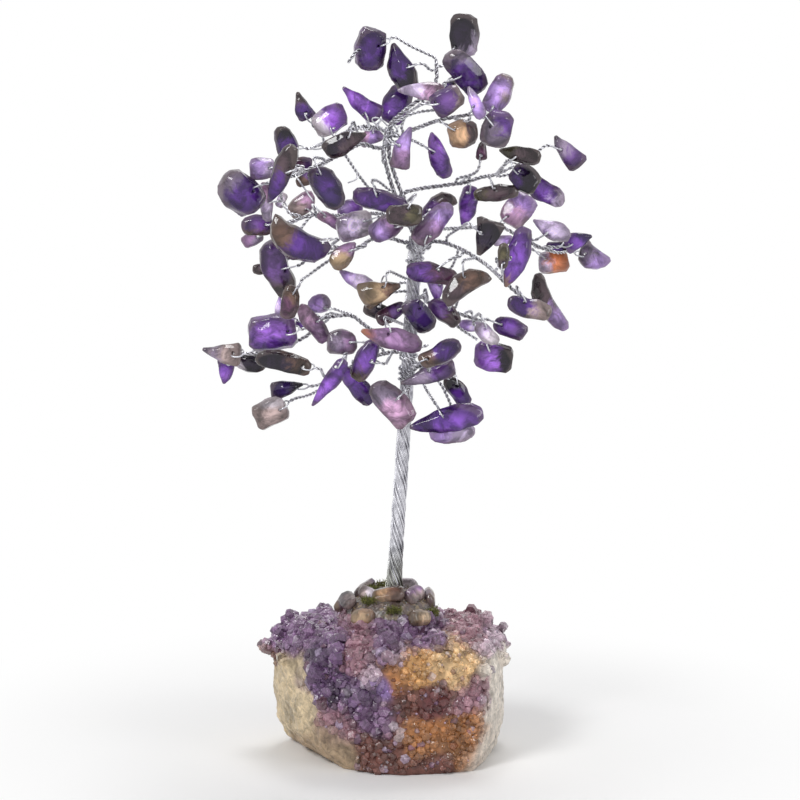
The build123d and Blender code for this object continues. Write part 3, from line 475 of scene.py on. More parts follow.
def paced(row, step):
    """The same route in even steps."""
    reach = way_gone(row)
    keep = np.concatenate([[True], np.diff(reach) > least_run])
    row, reach = row[keep], reach[keep]
    count = max(3, int(reach[-1] / step) + 1)
    marks = np.linspace(0, reach[-1], count)
    return np.stack([np.interp(marks, reach, row[:, axis]) for axis in range(3)], axis=1)


def at_share(row, share):
    """The point and the way on at a share of a route's length."""
    reach = way_gone(row)
    mark = share * reach[-1]
    point = np.array([np.interp(mark, reach, row[:, axis]) for axis in range(3)])
    low = min(len(row) - 2, max(0, int(np.searchsorted(reach, mark, side="right")) - 1))
    while reach[low + 1] - reach[low] < least_run and low > 0:
        low -= 1
    return point, unit(row[low + 1] - row[low])


print("a bend is drawn in", bend_steps, "steps")

# %% [markdown]
# The trunk leans a little, and the leader goes on from its top. Both carry boughs, so each is kept with
# its radius and with how far its strands stand apart.

# %% Trunk and leader
def seen(across_share, up_share, depth_share):
    """A place in the crown, from where it is seen across and up from the front, and its depth."""
    lift = math.radians(view_lift)
    depth = depth_share * crown_half_depth
    seen_up = crown_seen_height + up_share * crown_reach
    height = (seen_up - depth * math.sin(lift)) / math.cos(lift)
    return np.array([across_share * crown_reach + crown_across, depth, height])


trunk_foot = np.array([0, 0, stone_height - socket_depth])
trunk_rise = trunk_top - trunk_foot[2]
trunk_way = unit([math.tan(math.radians(trunk_lean)), 0, 1])
trunk_route = np.array([trunk_foot, trunk_foot + trunk_way * trunk_rise / trunk_way[2]])
leader_start = trunk_route[1] + trunk_way * leader_radius
leader_route = rounded([leader_start] + [seen(*place) for place in leader_route_shares])
carriers = {"trunk": (trunk_route, trunk_radius, 0), "leader": (leader_route, leader_radius, leader_spread)}
print("the leader is", round(way_gone(leader_route)[-1] / mm), "mm long")

# %% [markdown]
# A bough sets off square to what carries it, from just outside its strands, and then follows its own
# corners.

# %% Bough routes
bough_radius = 0.7 * mm
bough_gap = 0.3 * mm


def wire_start(carrier, share, gap, target):
    """Where a wire leaves its carrier, and the way it sets off."""
    row, radius, apart = carrier
    point, along = at_share(row, share)
    if share == 1:
        return point + along * gap, along
    away = target - point
    outward = unit(away - along * (away @ along))
    across = unit(np.cross(along, [0, 1, 0]))
    return point + outward * (radius + apart * abs(outward @ across) + gap), outward


bough_routes = {}
for name, (carrier, share, places) in bough_shares.items():
    points = [seen(*place) for place in places]
    start, heading = wire_start(carriers[carrier], share, bough_gap, points[0])
    bough_routes[name] = rounded([start, start + heading * 2 * bough_radius] + points)
longest = max(way_gone(row)[-1] for row in bough_routes.values())
print("boughs", len(bough_routes), "longest", round(longest / mm), "mm")

# %% [markdown]
# ## Laying wire
# Each strand is a round wire, so it is drawn as a tube of six or seven sides round its own line. Strands
# are twisted by turning that line round the route: once for a pair of wires, twice over for a bundle of
# pairs. The frame that the strand turns in is carried along the route without twisting by itself, or
# bends would show.

# %% Tubes and twists
wire_radius = 0.225 * mm
wire_sides = 6
pair_lay = 2.4 * mm
bough_lay = 5.2 * mm


def moving_frame(row):
    """Two directions square to the route at each point, which turn no more than the route does."""
    ways = np.gradient(row, axis=0)
    ways /= np.maximum(np.linalg.norm(ways, axis=1), 1e-12)[:, None]
    side = np.cross(ways[0], [0, 1, 0] if abs(ways[0][1]) < 0.9 else [1, 0, 0])
    sides = []
    for way in ways:
        side = unit(side - way * (side @ way))
        sides.append(side)
    sides = np.array(sides)
    return ways, sides, np.cross(ways, sides)


def turned(turns, sides, ups):
    """The direction at each angle, in two directions square to a route."""
    return np.cos(turns)[:, None] * sides + np.sin(turns)[:, None] * ups


def wound(row, reach, pitch, phase):
    """A line that turns round a route at a distance, once in every pitch."""
    ways, sides, ups = moving_frame(row)
    turns = phase + way_gone(row) / pitch * 2 * math.pi
    reach = np.asarray(reach)[..., None] if np.ndim(reach) else reach
    return row + reach * turned(turns, sides, ups)


def tube_mesh(row, radius, sides=wire_sides):
    """The corners and faces of a round wire along a line, closed at both ends."""
    ways, side, up = moving_frame(row)
    turns = np.arange(sides) * 2 * math.pi / sides
    radius = np.broadcast_to(np.asarray(radius, float), (len(row),))
    ring = np.cos(turns)[None, :, None] * side[:, None, :] + np.sin(turns)[None, :, None] * up[:, None, :]
    corners = (row[:, None, :] + radius[:, None, None] * ring).reshape(-1, 3)
    faces = []
    for step in range(len(row) - 1):
        for turn in range(sides):
            after = (turn + 1) % sides
            low, high = step * sides, (step + 1) * sides
            faces.append((low + turn, low + after, high + after, high + turn))
    faces.append(tuple(range(sides))[::-1])
    faces.append(tuple(range((len(row) - 1) * sides, len(row) * sides)))
    return corners, faces


print("a pair's lay", pair_lay / mm, "mm, a bough's", bough_lay / mm, "mm")

# %% [markdown]
# Corners and faces become an object in one step, so that every piece is made alike. What a shader has to
# know of a corner, such as its colour, is stored with the mesh.

# %% Meshes
def joined(pieces):
    """Several meshes as one list of corners and faces."""
    corners, faces, count = [], [], 0
    for piece_corners, piece_faces in pieces:
        corners.append(piece_corners)
        faces += [tuple(count + corner for corner in face) for face in piece_faces]
        count += len(piece_corners)
    return np.concatenate(corners), faces


def mesh_object(name, corners, faces, material, smooth=True):
    """A new object from corners and faces."""
    mesh = bpy.data.meshes.new(name)
    mesh.from_pydata([tuple(corner) for corner in corners], [], faces)
    mesh.polygons.foreach_set("use_smooth", [smooth] * len(mesh.polygons))
    mesh.materials.append(material)
    piece = bpy.data.objects.new(name, mesh)
    bpy.context.scene.collection.objects.link(piece)
    return piece


def corner_places(mesh, field="co"):
    """Where the corners of a mesh are, or which way they face."""
    places = np.empty(len(mesh.vertices) * 3)
    mesh.vertices.foreach_get(field, places)
    return places.reshape(-1, 3)


def corner_normals(mesh):
    return corner_places(mesh, "normal")


def move_corners(mesh, places):
    mesh.vertices.foreach_set("co", places.ravel())
    mesh.update()


def set_attribute(mesh, name, kind, values):
    """A value for every corner of a mesh, for the shader to read."""
    layer = mesh.attributes.new(name, kind, "POINT")
    field = "color" if kind == "FLOAT_COLOR" else "value"
    layer.data.foreach_set(field, np.asarray(values, np.float32).ravel())


def set_colours(mesh, name, colours):
    """A colour for every corner of a mesh."""
    set_attribute(mesh, name, "FLOAT_COLOR", np.column_stack([colours, np.ones(len(colours))]))


print("ready to lay wires of", 2 * wire_radius / mm, "mm")

# %% [markdown]
# ## Shader effects that several pieces share
# Two effects come back on many surfaces: wispy veils that cloud an even colour, and small pits and
# scratches that catch the light. Each is a node group with named inputs, and gives only values; the
# surface itself is mixed in the material, where its shine is set. Nodes are made by a few short helpers
# first, so that a group or a material reads as a list of steps.

# %% Helpers for nodes
def new_group(name, inputs, outputs):
    """A node group with named sockets, and its ends."""
    group = bpy.data.node_groups.new(name, "ShaderNodeTree")
    for label, kind, value in inputs:
        socket = group.interface.new_socket(label, in_out="INPUT", socket_type=kind)
        if value is not None:
            socket.default_value = value
    for label, kind in outputs:
        group.interface.new_socket(label, in_out="OUTPUT", socket_type=kind)
    return group, group.nodes.new("NodeGroupInput").outputs, group.nodes.new("NodeGroupOutput").inputs


def node(tree, kind, settings=None, values=None, links=None):
    """A node with its settings, its input values and its incoming links."""
    made = tree.nodes.new(kind)
    for key, value in (settings or {}).items():
        setattr(made, key, value)
    for key, value in (values or {}).items():
        made.inputs[key].default_value = value
    for key, source in (links or {}).items():
        tree.links.new(source, made.inputs[key])
    return made


def calculated(tree, operation, *terms):
    """The result of a sum with sockets and numbers in it."""
    made = node(tree, "ShaderNodeMath", {"operation": operation})
    for index, term in enumerate(terms):
        if isinstance(term, bpy.types.NodeSocket):
            tree.links.new(term, made.inputs[index])
        else:
            made.inputs[index].default_value = term
    return made.outputs[0]


def spread(tree, value, low, high, start=0.0, end=1.0, smooth=False):
    """A value that goes from start to end, spread from low to high."""
    settings = {"interpolation_type": "SMOOTHSTEP"} if smooth else None
    limits = {"From Min": start, "From Max": end, "To Min": low, "To Max": high}
    return node(tree, "ShaderNodeMapRange", settings, limits, {"Value": value}).outputs[0]


print("helpers for nodes ready")

# %% [markdown]
# The veils are one noise whose places are pushed about by another, which draws it out into wisps. The
# pits are small cells with fine grain over them.

# %% Shared node groups
veil_drift = 0.004


def veil_group():
    """Wispy bands through a clear stone: a value from 0 to 1."""
    sockets = [("Vector", "NodeSocketVector", None), ("Scale", "NodeSocketFloat", 300.0),
               ("Sharpness", "NodeSocketFloat", 3.0)]
    group, given, result = new_group("veils", sockets, [("Value", "NodeSocketFloat")])
    bent = node(group, "ShaderNodeTexNoise", None, {"Detail": 3.0, "Roughness": 0.6},
                {"Vector": given["Vector"], "Scale": given["Scale"]})
    drift = node(group, "ShaderNodeVectorMath", {"operation": "SCALE"}, {"Scale": veil_drift},
                 {0: bent.outputs["Color"]})
    moved = node(group, "ShaderNodeVectorMath", {"operation": "ADD"}, None,
                 {0: given["Vector"], 1: drift.outputs[0]})
    bands = node(group, "ShaderNodeTexNoise", None, {"Detail": 5.0, "Roughness": 0.65, "Distortion": 1.2},
                 {"Vector": moved.outputs[0], "Scale": given["Scale"]})
    sharper = calculated(group, "MULTIPLY", calculated(group, "SUBTRACT", bands.outputs["Fac"], 0.5),
                         given["Sharpness"])
    centred = node(group, "ShaderNodeMath", {"operation": "ADD", "use_clamp": True}, {1: 0.5}, {0: sharper})
    group.links.new(centred.outputs[0], result["Value"])
    return group


def pits_group():
    """Fine pits and scratches: a height for bump, and a mask for roughness."""
    sockets = [("Vector", "NodeSocketVector", None), ("Scale", "NodeSocketFloat", 900.0)]
    results = [("Height", "NodeSocketFloat"), ("Mask", "NodeSocketFloat")]
    group, given, result = new_group("pits_and_scratches", sockets, results)
    both = {"Vector": given["Vector"], "Scale": given["Scale"]}
    holes = node(group, "ShaderNodeTexVoronoi", {"feature": "F1"}, {"Randomness": 1.0}, both)
    grain = node(group, "ShaderNodeTexNoise", None, {"Detail": 6.0, "Roughness": 0.7}, both)
    height = calculated(group, "ADD", holes.outputs["Distance"], grain.outputs["Fac"])
    group.links.new(height, result["Height"])
    mask = spread(group, grain.outputs["Fac"], low=0.0, high=1.0, start=0.45, end=0.65)
    group.links.new(mask, result["Mask"])
    return group


veils = veil_group()
pits = pits_group()
print("shared groups", [group.name for group in bpy.data.node_groups])

# %% [markdown]
# Every material below is put together from the same few steps, so each step is a short function: read
# what is stored with the mesh, cloud it, mix or shade a colour, and break up the shine.

# %% Steps of a material
def new_material(name):
    material = bpy.data.materials.new(name)
    material.use_nodes = True
    tree = material.node_tree
    return material, tree, tree.nodes["Principled BSDF"]


def own_place(tree):
    """Where a point lies on its own object."""
    return node(tree, "ShaderNodeTexCoord").outputs["Object"]


def stored(tree, name, output="Fac"):
    """What set_attribute stored with the mesh."""
    return node(tree, "ShaderNodeAttribute", {"attribute_name": name}).outputs[output]


def clouded(tree, place, scale, sharpness):
    """The shared veils at one scale, from 0 to 1."""
    values = {"Scale": scale, "Sharpness": sharpness}
    return node(tree, "ShaderNodeGroup", {"node_tree": veils}, values, {"Vector": place}).outputs["Value"]


def mixed(tree, share, first, second):
    """A colour with a share of a second one in it, which may be a colour of the palette."""
    made = node(tree, "ShaderNodeMix", {"data_type": "RGBA"}, None, {"Factor": share, "A": first})
    if isinstance(second, tuple):
        made.inputs["B"].default_value = (*second, 1)
    else:
        tree.links.new(second, made.inputs["B"])
    return made.outputs["Result"]


def shaded(tree, colour, value):
    """A colour made darker or lighter by a value."""
    settings = {"data_type": "RGBA", "blend_type": "MULTIPLY"}
    made = node(tree, "ShaderNodeMix", settings, {"Factor": 1.0}, {"A": colour, "B": value})
    return made.outputs["Result"]


def ramp(tree, value, first, last, *between):
    """Colours along a value from 0 to 1, each with its place."""
    made = node(tree, "ShaderNodeValToRGB", links={"Fac": value})
    steps = made.color_ramp.elements
    for step, (place, colour) in zip(steps, (first, last)):
        step.position, step.color = place, (*colour, 1)
    for place, colour in between:
        steps.new(place).color = (*colour, 1)
    return made.outputs["Color"]


def set_surface(tree, surface, colour, place, grain, roughness, strength, depth, height=None):
    """Give a surface its colour, and the pits that break up its shine."""
    fine = node(tree, "ShaderNodeGroup", {"node_tree": pits}, {"Scale": grain}, {"Vector": place})
    raised = fine.outputs["Height"] if height is None else height
    bump = node(tree, "ShaderNodeBump", None, {"Strength": strength, "Distance": depth}, {"Height": raised})
    tree.links.new(colour, surface.inputs["Base Color"])
    tree.links.new(spread(tree, fine.outputs["Mask"], *roughness), surface.inputs["Roughness"])
    tree.links.new(bump.outputs["Normal"], surface.inputs["Normal"])


print("steps of a material ready")

# %% [markdown]
# ## Silver wire
# Silvered craft wire is bright and a little uneven: handling dulls it in patches, and fine pits break up
# its shine. Light hardly gets between the turns of a twist, so shade is painted there: how deep each corner
# of a wire lies in its rope is stored with the mesh, and the material paints it darker there, which makes
# the twist read from a step away. Glue and moss stain the foot.

# %% Wire material
def wire_material(name, tone, dull, stain):
    """Silvered wire: its colour, its dull patches, its stain and painted shade between its turns."""
    material, tree, surface = new_material(name)
    place = own_place(tree)
    patches = node(tree, "ShaderNodeTexNoise", None, {"Scale": 260.0, "Detail": 4.0, "Roughness": 0.6},
                   {"Vector": place})
    colour = ramp(tree, patches.outputs["Fac"], (0.36, dull), (0.58, tone))
    aged = mixed(tree, stored(tree, "tarnish"), colour, stain)
    # Painted shade: corners deep in the rope are mixed towards smoky grey.
    depth = spread(tree, stored(tree, "groove_shade"), low=0.0, high=0.85, start=0.12, end=0.6, smooth=True)
    laid = mixed(tree, depth, aged, palette["smoky"])
    set_surface(tree, surface, laid, place, grain=2600.0, roughness=(0.26, 0.45), strength=0.12,
                depth=0.04 * mm)
    surface.inputs["Metallic"].default_value = 0.85
    return material


silver = wire_material("silver_wire", shade(222, 222, 228), shade(160, 160, 168), shade(104, 108, 74))
print("wire material ready")

# %% [markdown]
# A piece of the tree is seldom one wire. Its wires are laid first, each with the painted shade that the
# depth of its corners in the rope gives, and become one object together.

# %% Objects of wire
rope_pace = 0.12 * mm


def groove_shade_of(corners, row, outer):
    """How deep each corner of a wire lies in its rope, as painted shade: 0 on the outside, 1 at the middle.
    """
    away = np.linalg.norm(corners.reshape(len(row), -1, 3) - row[:, None, :], axis=2)
    outer = np.broadcast_to(np.asarray(outer, float), (len(row),))
    return np.clip(1 - away / outer[:, None], 0, 1).ravel()


def wire_object(name, wires, groove_shades):
    """Several wires as one silver object."""
    piece = mesh_object(name, *joined(wires), silver)
    # The painted shade of every corner is stored for the wire material.
    set_attribute(piece.data, "groove_shade", "FLOAT", np.concatenate(groove_shades))
    return piece


def twisted_pair(line, apart, radius):
    """Two wires turned round each other along a line, and the painted shade of their corners by how deep
    they lie.
    """
    wires = [tube_mesh(wound(line, apart, pair_lay, half), radius) for half in (0, math.pi)]
    return wires, [groove_shade_of(corners, line, 2 * wire_radius) for corners, faces in wires]


print("ropes are drawn in steps of", rope_pace / mm, "mm")

# %% [markdown]
# ## The trunk
# The real trunk is one bundle of every bough's wires. The wires were taken in pairs, and the dozen pairs
# on the outside were then laid round the rest in a left-hand twist. The two wires of a pair stay nearly
# side by side in it. Below, the bundle flares into the glue, and it swells at the two knots that the
# wraps tie. A core fills its middle.

# %% Trunk strands
strand_count = 12
strand_gap_share = 0.03
lay_length = 25.0 * mm
strand_twist = -42 * mm
strand_sides = 7
half_apart_share = 0.52
half_radius_share = 0.64
trunk_pace = 0.3 * mm
flare_share = 0.38
flare_height = 13 * mm
flare_power = 1.6
foot_stain = 0.75
knots = [(112 * mm, 6 * mm, 0.10), (134 * mm, 5 * mm, 0.07)]
wobble_waves = [(0.04, 210, 2.1), (0.025, 530, 1.0)]
outer_share = 0.1
# Over how many strand radii the painted shade inside the bundle grows.
groove_shade_share = 3.4

trunk_line = paced(trunk_route, trunk_pace)
rise = trunk_line[:, 2]
flare = 1 + flare_share * np.clip((mound_top + flare_height - rise) / flare_height, 0, 1) ** flare_power
swell = 1 + sum(share * np.exp(-(((rise - height) / reach) ** 2)) for height, reach, share in knots)
strand_sine = math.sin(math.pi / strand_count)
strand_radius = trunk_radius * strand_sine / (1 + strand_gap_share + strand_sine)
strands, groove_shades = [], []
for number in range(strand_count):
    wobble = 1
    for size, waves, shift in wobble_waves:
        wobble = wobble + size * np.sin(rise * waves + number * shift)
    reach = (trunk_radius - strand_radius) * flare * swell * wobble
    outer = (trunk_radius * flare * swell + outer_share * strand_radius) * wobble
    middle = wound(trunk_line, reach, -lay_length, number * 2 * math.pi / strand_count)
    for half in (0, math.pi):
        wire = wound(middle, strand_radius * half_apart_share, strand_twist, half + number)
        corners, faces = tube_mesh(wire, strand_radius * half_radius_share, strand_sides)
        away = np.linalg.norm(corners.reshape(len(trunk_line), -1, 3) - trunk_line[:, None, :], axis=2)
        strands.append((corners, faces))
        # Painted shade: corners deep in the bundle, away from its outside, are stored darker.
        groove_shades.append(np.clip((outer[:, None] - away) / (groove_shade_share * strand_radius), 0, 1).ravel())
trunk_strands = wire_object("trunk_strands_wire", strands, groove_shades)
foot_rise = corner_places(trunk_strands.data)[:, 2] - mound_top
stain = foot_stain * np.clip(1 - foot_rise / flare_height, 0, 1)
set_attribute(trunk_strands.data, "tarnish", "FLOAT", stain)
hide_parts("trunk_strands")
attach(trunk_strands, "tree")
print("trunk wires", len(strands))

# %% [markdown]
# The core only closes the gaps between the strands, so it is one smooth tube that flares and swells with
# them.

# %% Trunk core
core_sides = 20
core_skip = 4
core_inset_share = 1.15
core_line = trunk_line[::core_skip]
core_reach = (trunk_radius - core_inset_share * strand_radius) * (flare * swell)[::core_skip]
trunk_core = mesh_object("trunk_core_wire", *tube_mesh(core_line, core_reach, core_sides), silver)
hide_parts("trunk_core")
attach(trunk_core, "tree")
print("core radius", round(core_reach.min() / mm, 2), "to", round(core_reach.max() / mm, 2), "mm")

# %% [markdown]
# Short wraps of a twisted pair tie the bundle where boughs leave it. Each is a steep coil of one or two
# turns, leaning its own way, and they cross, which is what makes the trunk look knotted at those
# heights. A row below holds a wrap's height and climb in millimetres, with its turns between them and
# its hand at the end.

# %% Trunk wraps
wrap_rows = [
    (109, 1.6, 3.2, 1), (106, 1.3, 4.6, -1), (102.5, 1.6, 2.4, 1),
    (136.5, 1.3, 3.4, -1), (133.5, 1.6, 2.6, 1),
]
wrap_steps = 60
wrap_gap = 0.32 * mm
wrap_shift = 1.9
wrap_apart_share = 0.95
wraps, groove_shades = [], []
for number, (height, turns, climb, hand) in enumerate(wrap_rows):
    point, along = at_share(trunk_route, (height * mm - trunk_foot[2]) / trunk_rise)
    span = np.linspace(-0.5, 0.5, wrap_steps)[:, None] * along * climb * mm + point
    ways, sides, ups = moving_frame(span)
    angle = hand * np.linspace(0, turns * 2 * math.pi, wrap_steps) + number * wrap_shift
    line = paced(span + (trunk_radius + wrap_gap) * turned(angle, sides, ups), rope_pace)
    wires, deep = twisted_pair(line, wire_radius * wrap_apart_share, wire_radius)
    wraps += wires
    groove_shades += deep
trunk_wraps = wire_object("trunk_wraps", wraps, groove_shades)
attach(trunk_wraps, "tree")
print("wraps", len(wrap_rows))

# %% [markdown]
# ## Leader and boughs
# Above the fork the bundle is thin: two ropes of three pairs each, side by side with light between them.
# A bough is one such rope. The rope is drawn with two twists, pairs within the rope and wires within the
# pair.

# %% Leader
rope_pairs = 3
pair_reach_share = 0.5
rope_wire_share = 0.25
rope_outer_share = 1.05
leader_growth = 1.2


def rope(row, reach, phase):
    """A rope of three twisted pairs along a route; reach is its radius, which may change along it."""
    reach = np.broadcast_to(np.asarray(reach, float), (len(row),))
    thick = reach * rope_wire_share
    wires, deep = [], []
    for pair in range(rope_pairs):
        middle = wound(row, reach * pair_reach_share, bough_lay, phase + pair * 2 * math.pi / rope_pairs)
        for half in (0, math.pi):
            wires.append(tube_mesh(wound(middle, thick, pair_lay, half + pair), thick))
            # Painted shade by how deep the wire lies in the rope.
            deep.append(groove_shade_of(wires[-1][0], row, reach * rope_outer_share))
    return wires, deep


leader_ropes, groove_shades = [], []
for side in (-1, 1):
    points = []
    for share, spread_share in leader_spread_shares:
        point, along = at_share(leader_route, share)
        across = unit(np.cross(along, [0, 1, 0]))
        points.append(point + across * side * spread_share * leader_spread)
    wires, deep = rope(paced(rounded(points), rope_pace), leader_radius * leader_growth, side)
    leader_ropes += wires
    groove_shades += deep
leader = wire_object("leader_ropes", leader_ropes, groove_shades)
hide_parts("leader_wires")
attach(leader, "tree")
print("leader wires", len(leader_ropes))

# %% [markdown]
# A bough bends at its root. Its first millimetres come out of the trunk's side and are a piece by
# themselves; the rest of the rope moves with the bough. The two pieces are cut from one rope at one ring
# of corners, so that no step shows between them.

# %% Boughs
root_run = 4 * mm
root_blend = 4 * mm
root_lead_share = 0.4
end_root_share = 0.6
tip_share = 0.8
route_pace = 0.5 * mm


def cut_tube(corners, faces, sides, cut):
    """A tube in two pieces that meet at one of its rings, each closed at the end away from the cut."""
    near = (corners[: (cut + 1) * sides], faces[: cut * sides] + [tuple(range(sides))[::-1]])
    rest = corners[cut * sides:]
    walls = [tuple(corner - cut * sides for corner in face) for face in faces[cut * sides: -2]]
    return near, (rest, walls + [tuple(range(len(rest) - sides, len(rest)))])


for number, (name, row) in enumerate(bough_routes.items()):
    carrier, share, places = bough_shares[name]
    point, along = at_share(carriers[carrier][0], share)
    inside = point - along * root_run * (1 if share < 1 else end_root_share)
    lead = point + (row[0] - point) * root_lead_share
    line = paced(rounded([inside, lead, *paced(row, route_pace)]), rope_pace)
    blend_end = at_share(row, root_blend / (len(paced(row, mm)) * mm))[0]
    cut = int(np.argmin(np.linalg.norm(line - blend_end, axis=1)))
    wires, deep = rope(line, np.linspace(bough_radius, bough_radius * tip_share, len(line)), number)
    halves = [cut_tube(corners, faces, wire_sides, cut) for corners, faces in wires]
    # The painted shade between the turns is cut with the rope at the same ring.
    root = wire_object(f"{name}_root", [near for near, far in halves],
                       [groove_shade[: (cut + 1) * wire_sides] for groove_shade in deep])
    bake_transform(root)
    body = wire_object(f"{name}_rope", [far for near, far in halves],
                       [groove_shade[cut * wire_sides:] for groove_shade in deep])
    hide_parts(f"{name}_wire")
    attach(body, name)
print("boughs laid", len(bough_routes))

# %% [markdown]
# ## Chips
# A chip is tumbled for weeks with grit, so its broken faces are still flat in the middle but every edge
# is round. The CAD chip already has the faces and the drilled hole. Here a copy of it is rebuilt from
# small even squares and relaxed, which wears the edges round, and then given a slight swell so that no
# face is dead flat. The chips of one bough share a frame piece, so they are first told apart by which
# faces hang together.

# %% Separate pieces of a mesh
def islands(source):
    """The separate pieces of a mesh, each as corners and faces."""
    mesh = source.data
    corners = np.array([vertex.co for vertex in mesh.vertices])
    keys, inverse = np.unique(np.round(corners, 7), axis=0, return_inverse=True)
    inverse = inverse.ravel()
    parent = list(range(len(keys)))

    def root_of(item):
        while parent[item] != item:
            parent[item] = parent[parent[item]]
            item = parent[item]
        return item

    faces = [[int(inverse[corner]) for corner in face.vertices] for face in mesh.polygons]
    for face in faces:
        for corner in face[1:]:
            first, other = root_of(face[0]), root_of(corner)
            if first != other:
                parent[other] = first
    groups = {}
    for face in faces:
        if len(set(face)) == len(face):
            groups.setdefault(root_of(face[0]), []).append(face)
    pieces = []
    for group in groups.values():
        used = sorted({corner for face in group for corner in face})
        place = {corner: index for index, corner in enumerate(used)}
        pieces.append((keys[used], [tuple(place[corner] for corner in face) for face in group]))
    return pieces


print("chips of the top bough", len(islands(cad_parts["top_bough_chips"])))

# %% [markdown]
# Wearing a piece takes two of Blender's modifiers, remesh and smooth. Noise then moves its corners in or
# out: slow noise for a swell, quick noise for a rough skin.

# %% Worn pieces
relax_factor = 0.5
swell_scale = 420


def rough(places, scale, seed=0):
    """Noise at every corner, from -1 to 1."""
    shift = Vector((seed * 3.1, seed * 1.7, seed * 2.3))
    return np.array([noise.noise(Vector(place) * scale + shift) for place in places])


def worn(name, corners, faces, square, rounds, swell, material):
    """A piece rebuilt from even squares, relaxed, and swollen a little by slow noise."""
    piece = mesh_object(name, corners, faces, material)
    remesh = piece.modifiers.new("squares", "REMESH")
    remesh.mode = "VOXEL"
    remesh.voxel_size = square
    relax = piece.modifiers.new("relax", "SMOOTH")
    relax.factor = relax_factor
    relax.iterations = rounds
    evaluated = piece.evaluated_get(bpy.context.evaluated_depsgraph_get())
    mesh = bpy.data.meshes.new_from_object(evaluated)
    piece.modifiers.clear()
    old = piece.data
    piece.data = mesh
    bpy.data.meshes.remove(old)
    mesh.name = name
    if swell:
        places = corner_places(mesh)
        push = rough(places, swell_scale) * swell
        move_corners(mesh, places + corner_normals(mesh) * push[:, None])
    mesh.polygons.foreach_set("use_smooth", [True] * len(mesh.polygons))
    return piece


print("noise of the swell turns about every", round(1 / swell_scale / mm, 1), "mm")

# %% [markdown]
# Each chip has its own two colours with a soft zone between them, as amethyst has where it grew against
# its matrix. Both are veined. Light that has come through is painted in: it lifts the middle, the colour
# deepens towards the edge, and the thin edge gets a painted pale grey, as light through it makes it. All
# this is stored with the mesh or follows from it, so one material serves every chip.

# %% Chip material
def chip_material():
    """Tumbled stone: two zones, veins, a middle lifted by painted light, a deep edge and a painted pale
    rim.
    """
    material, tree, surface = new_material("tumbled_amethyst")
    place = own_place(tree)
    bent = spread(tree, clouded(tree, place, scale=110.0, sharpness=2.2), low=-0.28, high=0.28)
    wavy = calculated(tree, "ADD", stored(tree, "zone"), bent)
    border = spread(tree, wavy, low=0.0, high=1.0, start=0.36, end=0.64, smooth=True)
    two = mixed(tree, border, stored(tree, "main_colour", "Color"), stored(tree, "second_colour", "Color"))
    veins = clouded(tree, place, scale=170.0, sharpness=2.6)
    veined = shaded(tree, two, spread(tree, veins, low=0.55, high=1.6, start=0.15, end=0.85, smooth=True))
    near_edge = calculated(tree, "MULTIPLY_ADD", bent, 0.35, stored(tree, "edge"))
    # Painted light: the middle is lifted as if lit through, and the edge is darkened.
    through = spread(tree, near_edge, low=1.85, high=0.74, start=0.25, end=0.85, smooth=True)
    # Painted light: the thin edge is mixed towards pale taupe, as if lit through.
    rim = spread(tree, near_edge, low=0.0, high=0.3, start=0.84, end=1.0, smooth=True)
    with_painted_pale_rim = mixed(tree, rim, shaded(tree, veined, through), palette["taupe"])
    set_surface(tree, surface, with_painted_pale_rim, place, grain=1500.0, roughness=(0.04, 0.13), strength=0.1,
                depth=0.06 * mm)
    surface.inputs["IOR"].default_value = 1.54
    surface.inputs["Specular IOR Level"].default_value = 0.3
    surface.inputs["Transmission Weight"].default_value = 0.3
    surface.inputs["Coat Weight"].default_value = 0.15
    return material


amethyst = chip_material()
print("chip material ready")

# %% [markdown]
# A chip has three directions of its own: long, broad and thin. They are turned a little from chip to chip,
# in the same way as in the part, so that a dressed chip lies just as its solid does.

# %% Dressing a chip
chip_length = 10.6 * mm
roll_angle = 16.0
roll_step = 1.9
pitch_angle = 7.0
pitch_step = 2.7
zone_slope = 0.42
outline_scale = 230
outline_lift = 0.35
still_middle = 1.5 * mm


def chip_axes(lean, number):
    """A chip's long, broad and thin directions."""
    lean = math.radians(lean)
    long = np.array([math.cos(lean), 0, math.sin(lean)])
    thin = np.array([0, -1, 0])
    broad = np.cross(thin, long)
    roll = math.radians(roll_angle * math.sin(roll_step * number))
    pitch = math.radians(pitch_angle * math.sin(pitch_step * number + 1))
    sine, cosine = math.sin(roll), math.cos(roll)
    about_long = np.array([[1, 0, 0], [0, cosine, -sine], [0, sine, cosine]])
    sine, cosine = math.sin(pitch), math.cos(pitch)
    about_broad = np.array([[cosine, 0, sine], [0, 1, 0], [-sine, 0, cosine]])
    basis = np.stack([long, broad, thin], axis=1)
    return (basis @ about_long @ about_broad).T


def uneven(piece, axes, middle, amount):
    """Push a chip's outline in and out by slow noise, and leave its two faces where they are."""
    places = corner_places(piece.data) - middle
    flat = (places @ axes[0])[:, None] * axes[0] + (places @ axes[1])[:, None] * axes[1]
    reach = np.linalg.norm(flat, axis=1)
    push = amount * (outline_lift + rough(places + middle, outline_scale))
    push *= np.clip(reach / still_middle, 0, 1) / np.maximum(reach, 1e-9)
    move_corners(piece.data, places + middle + flat * push[:, None])


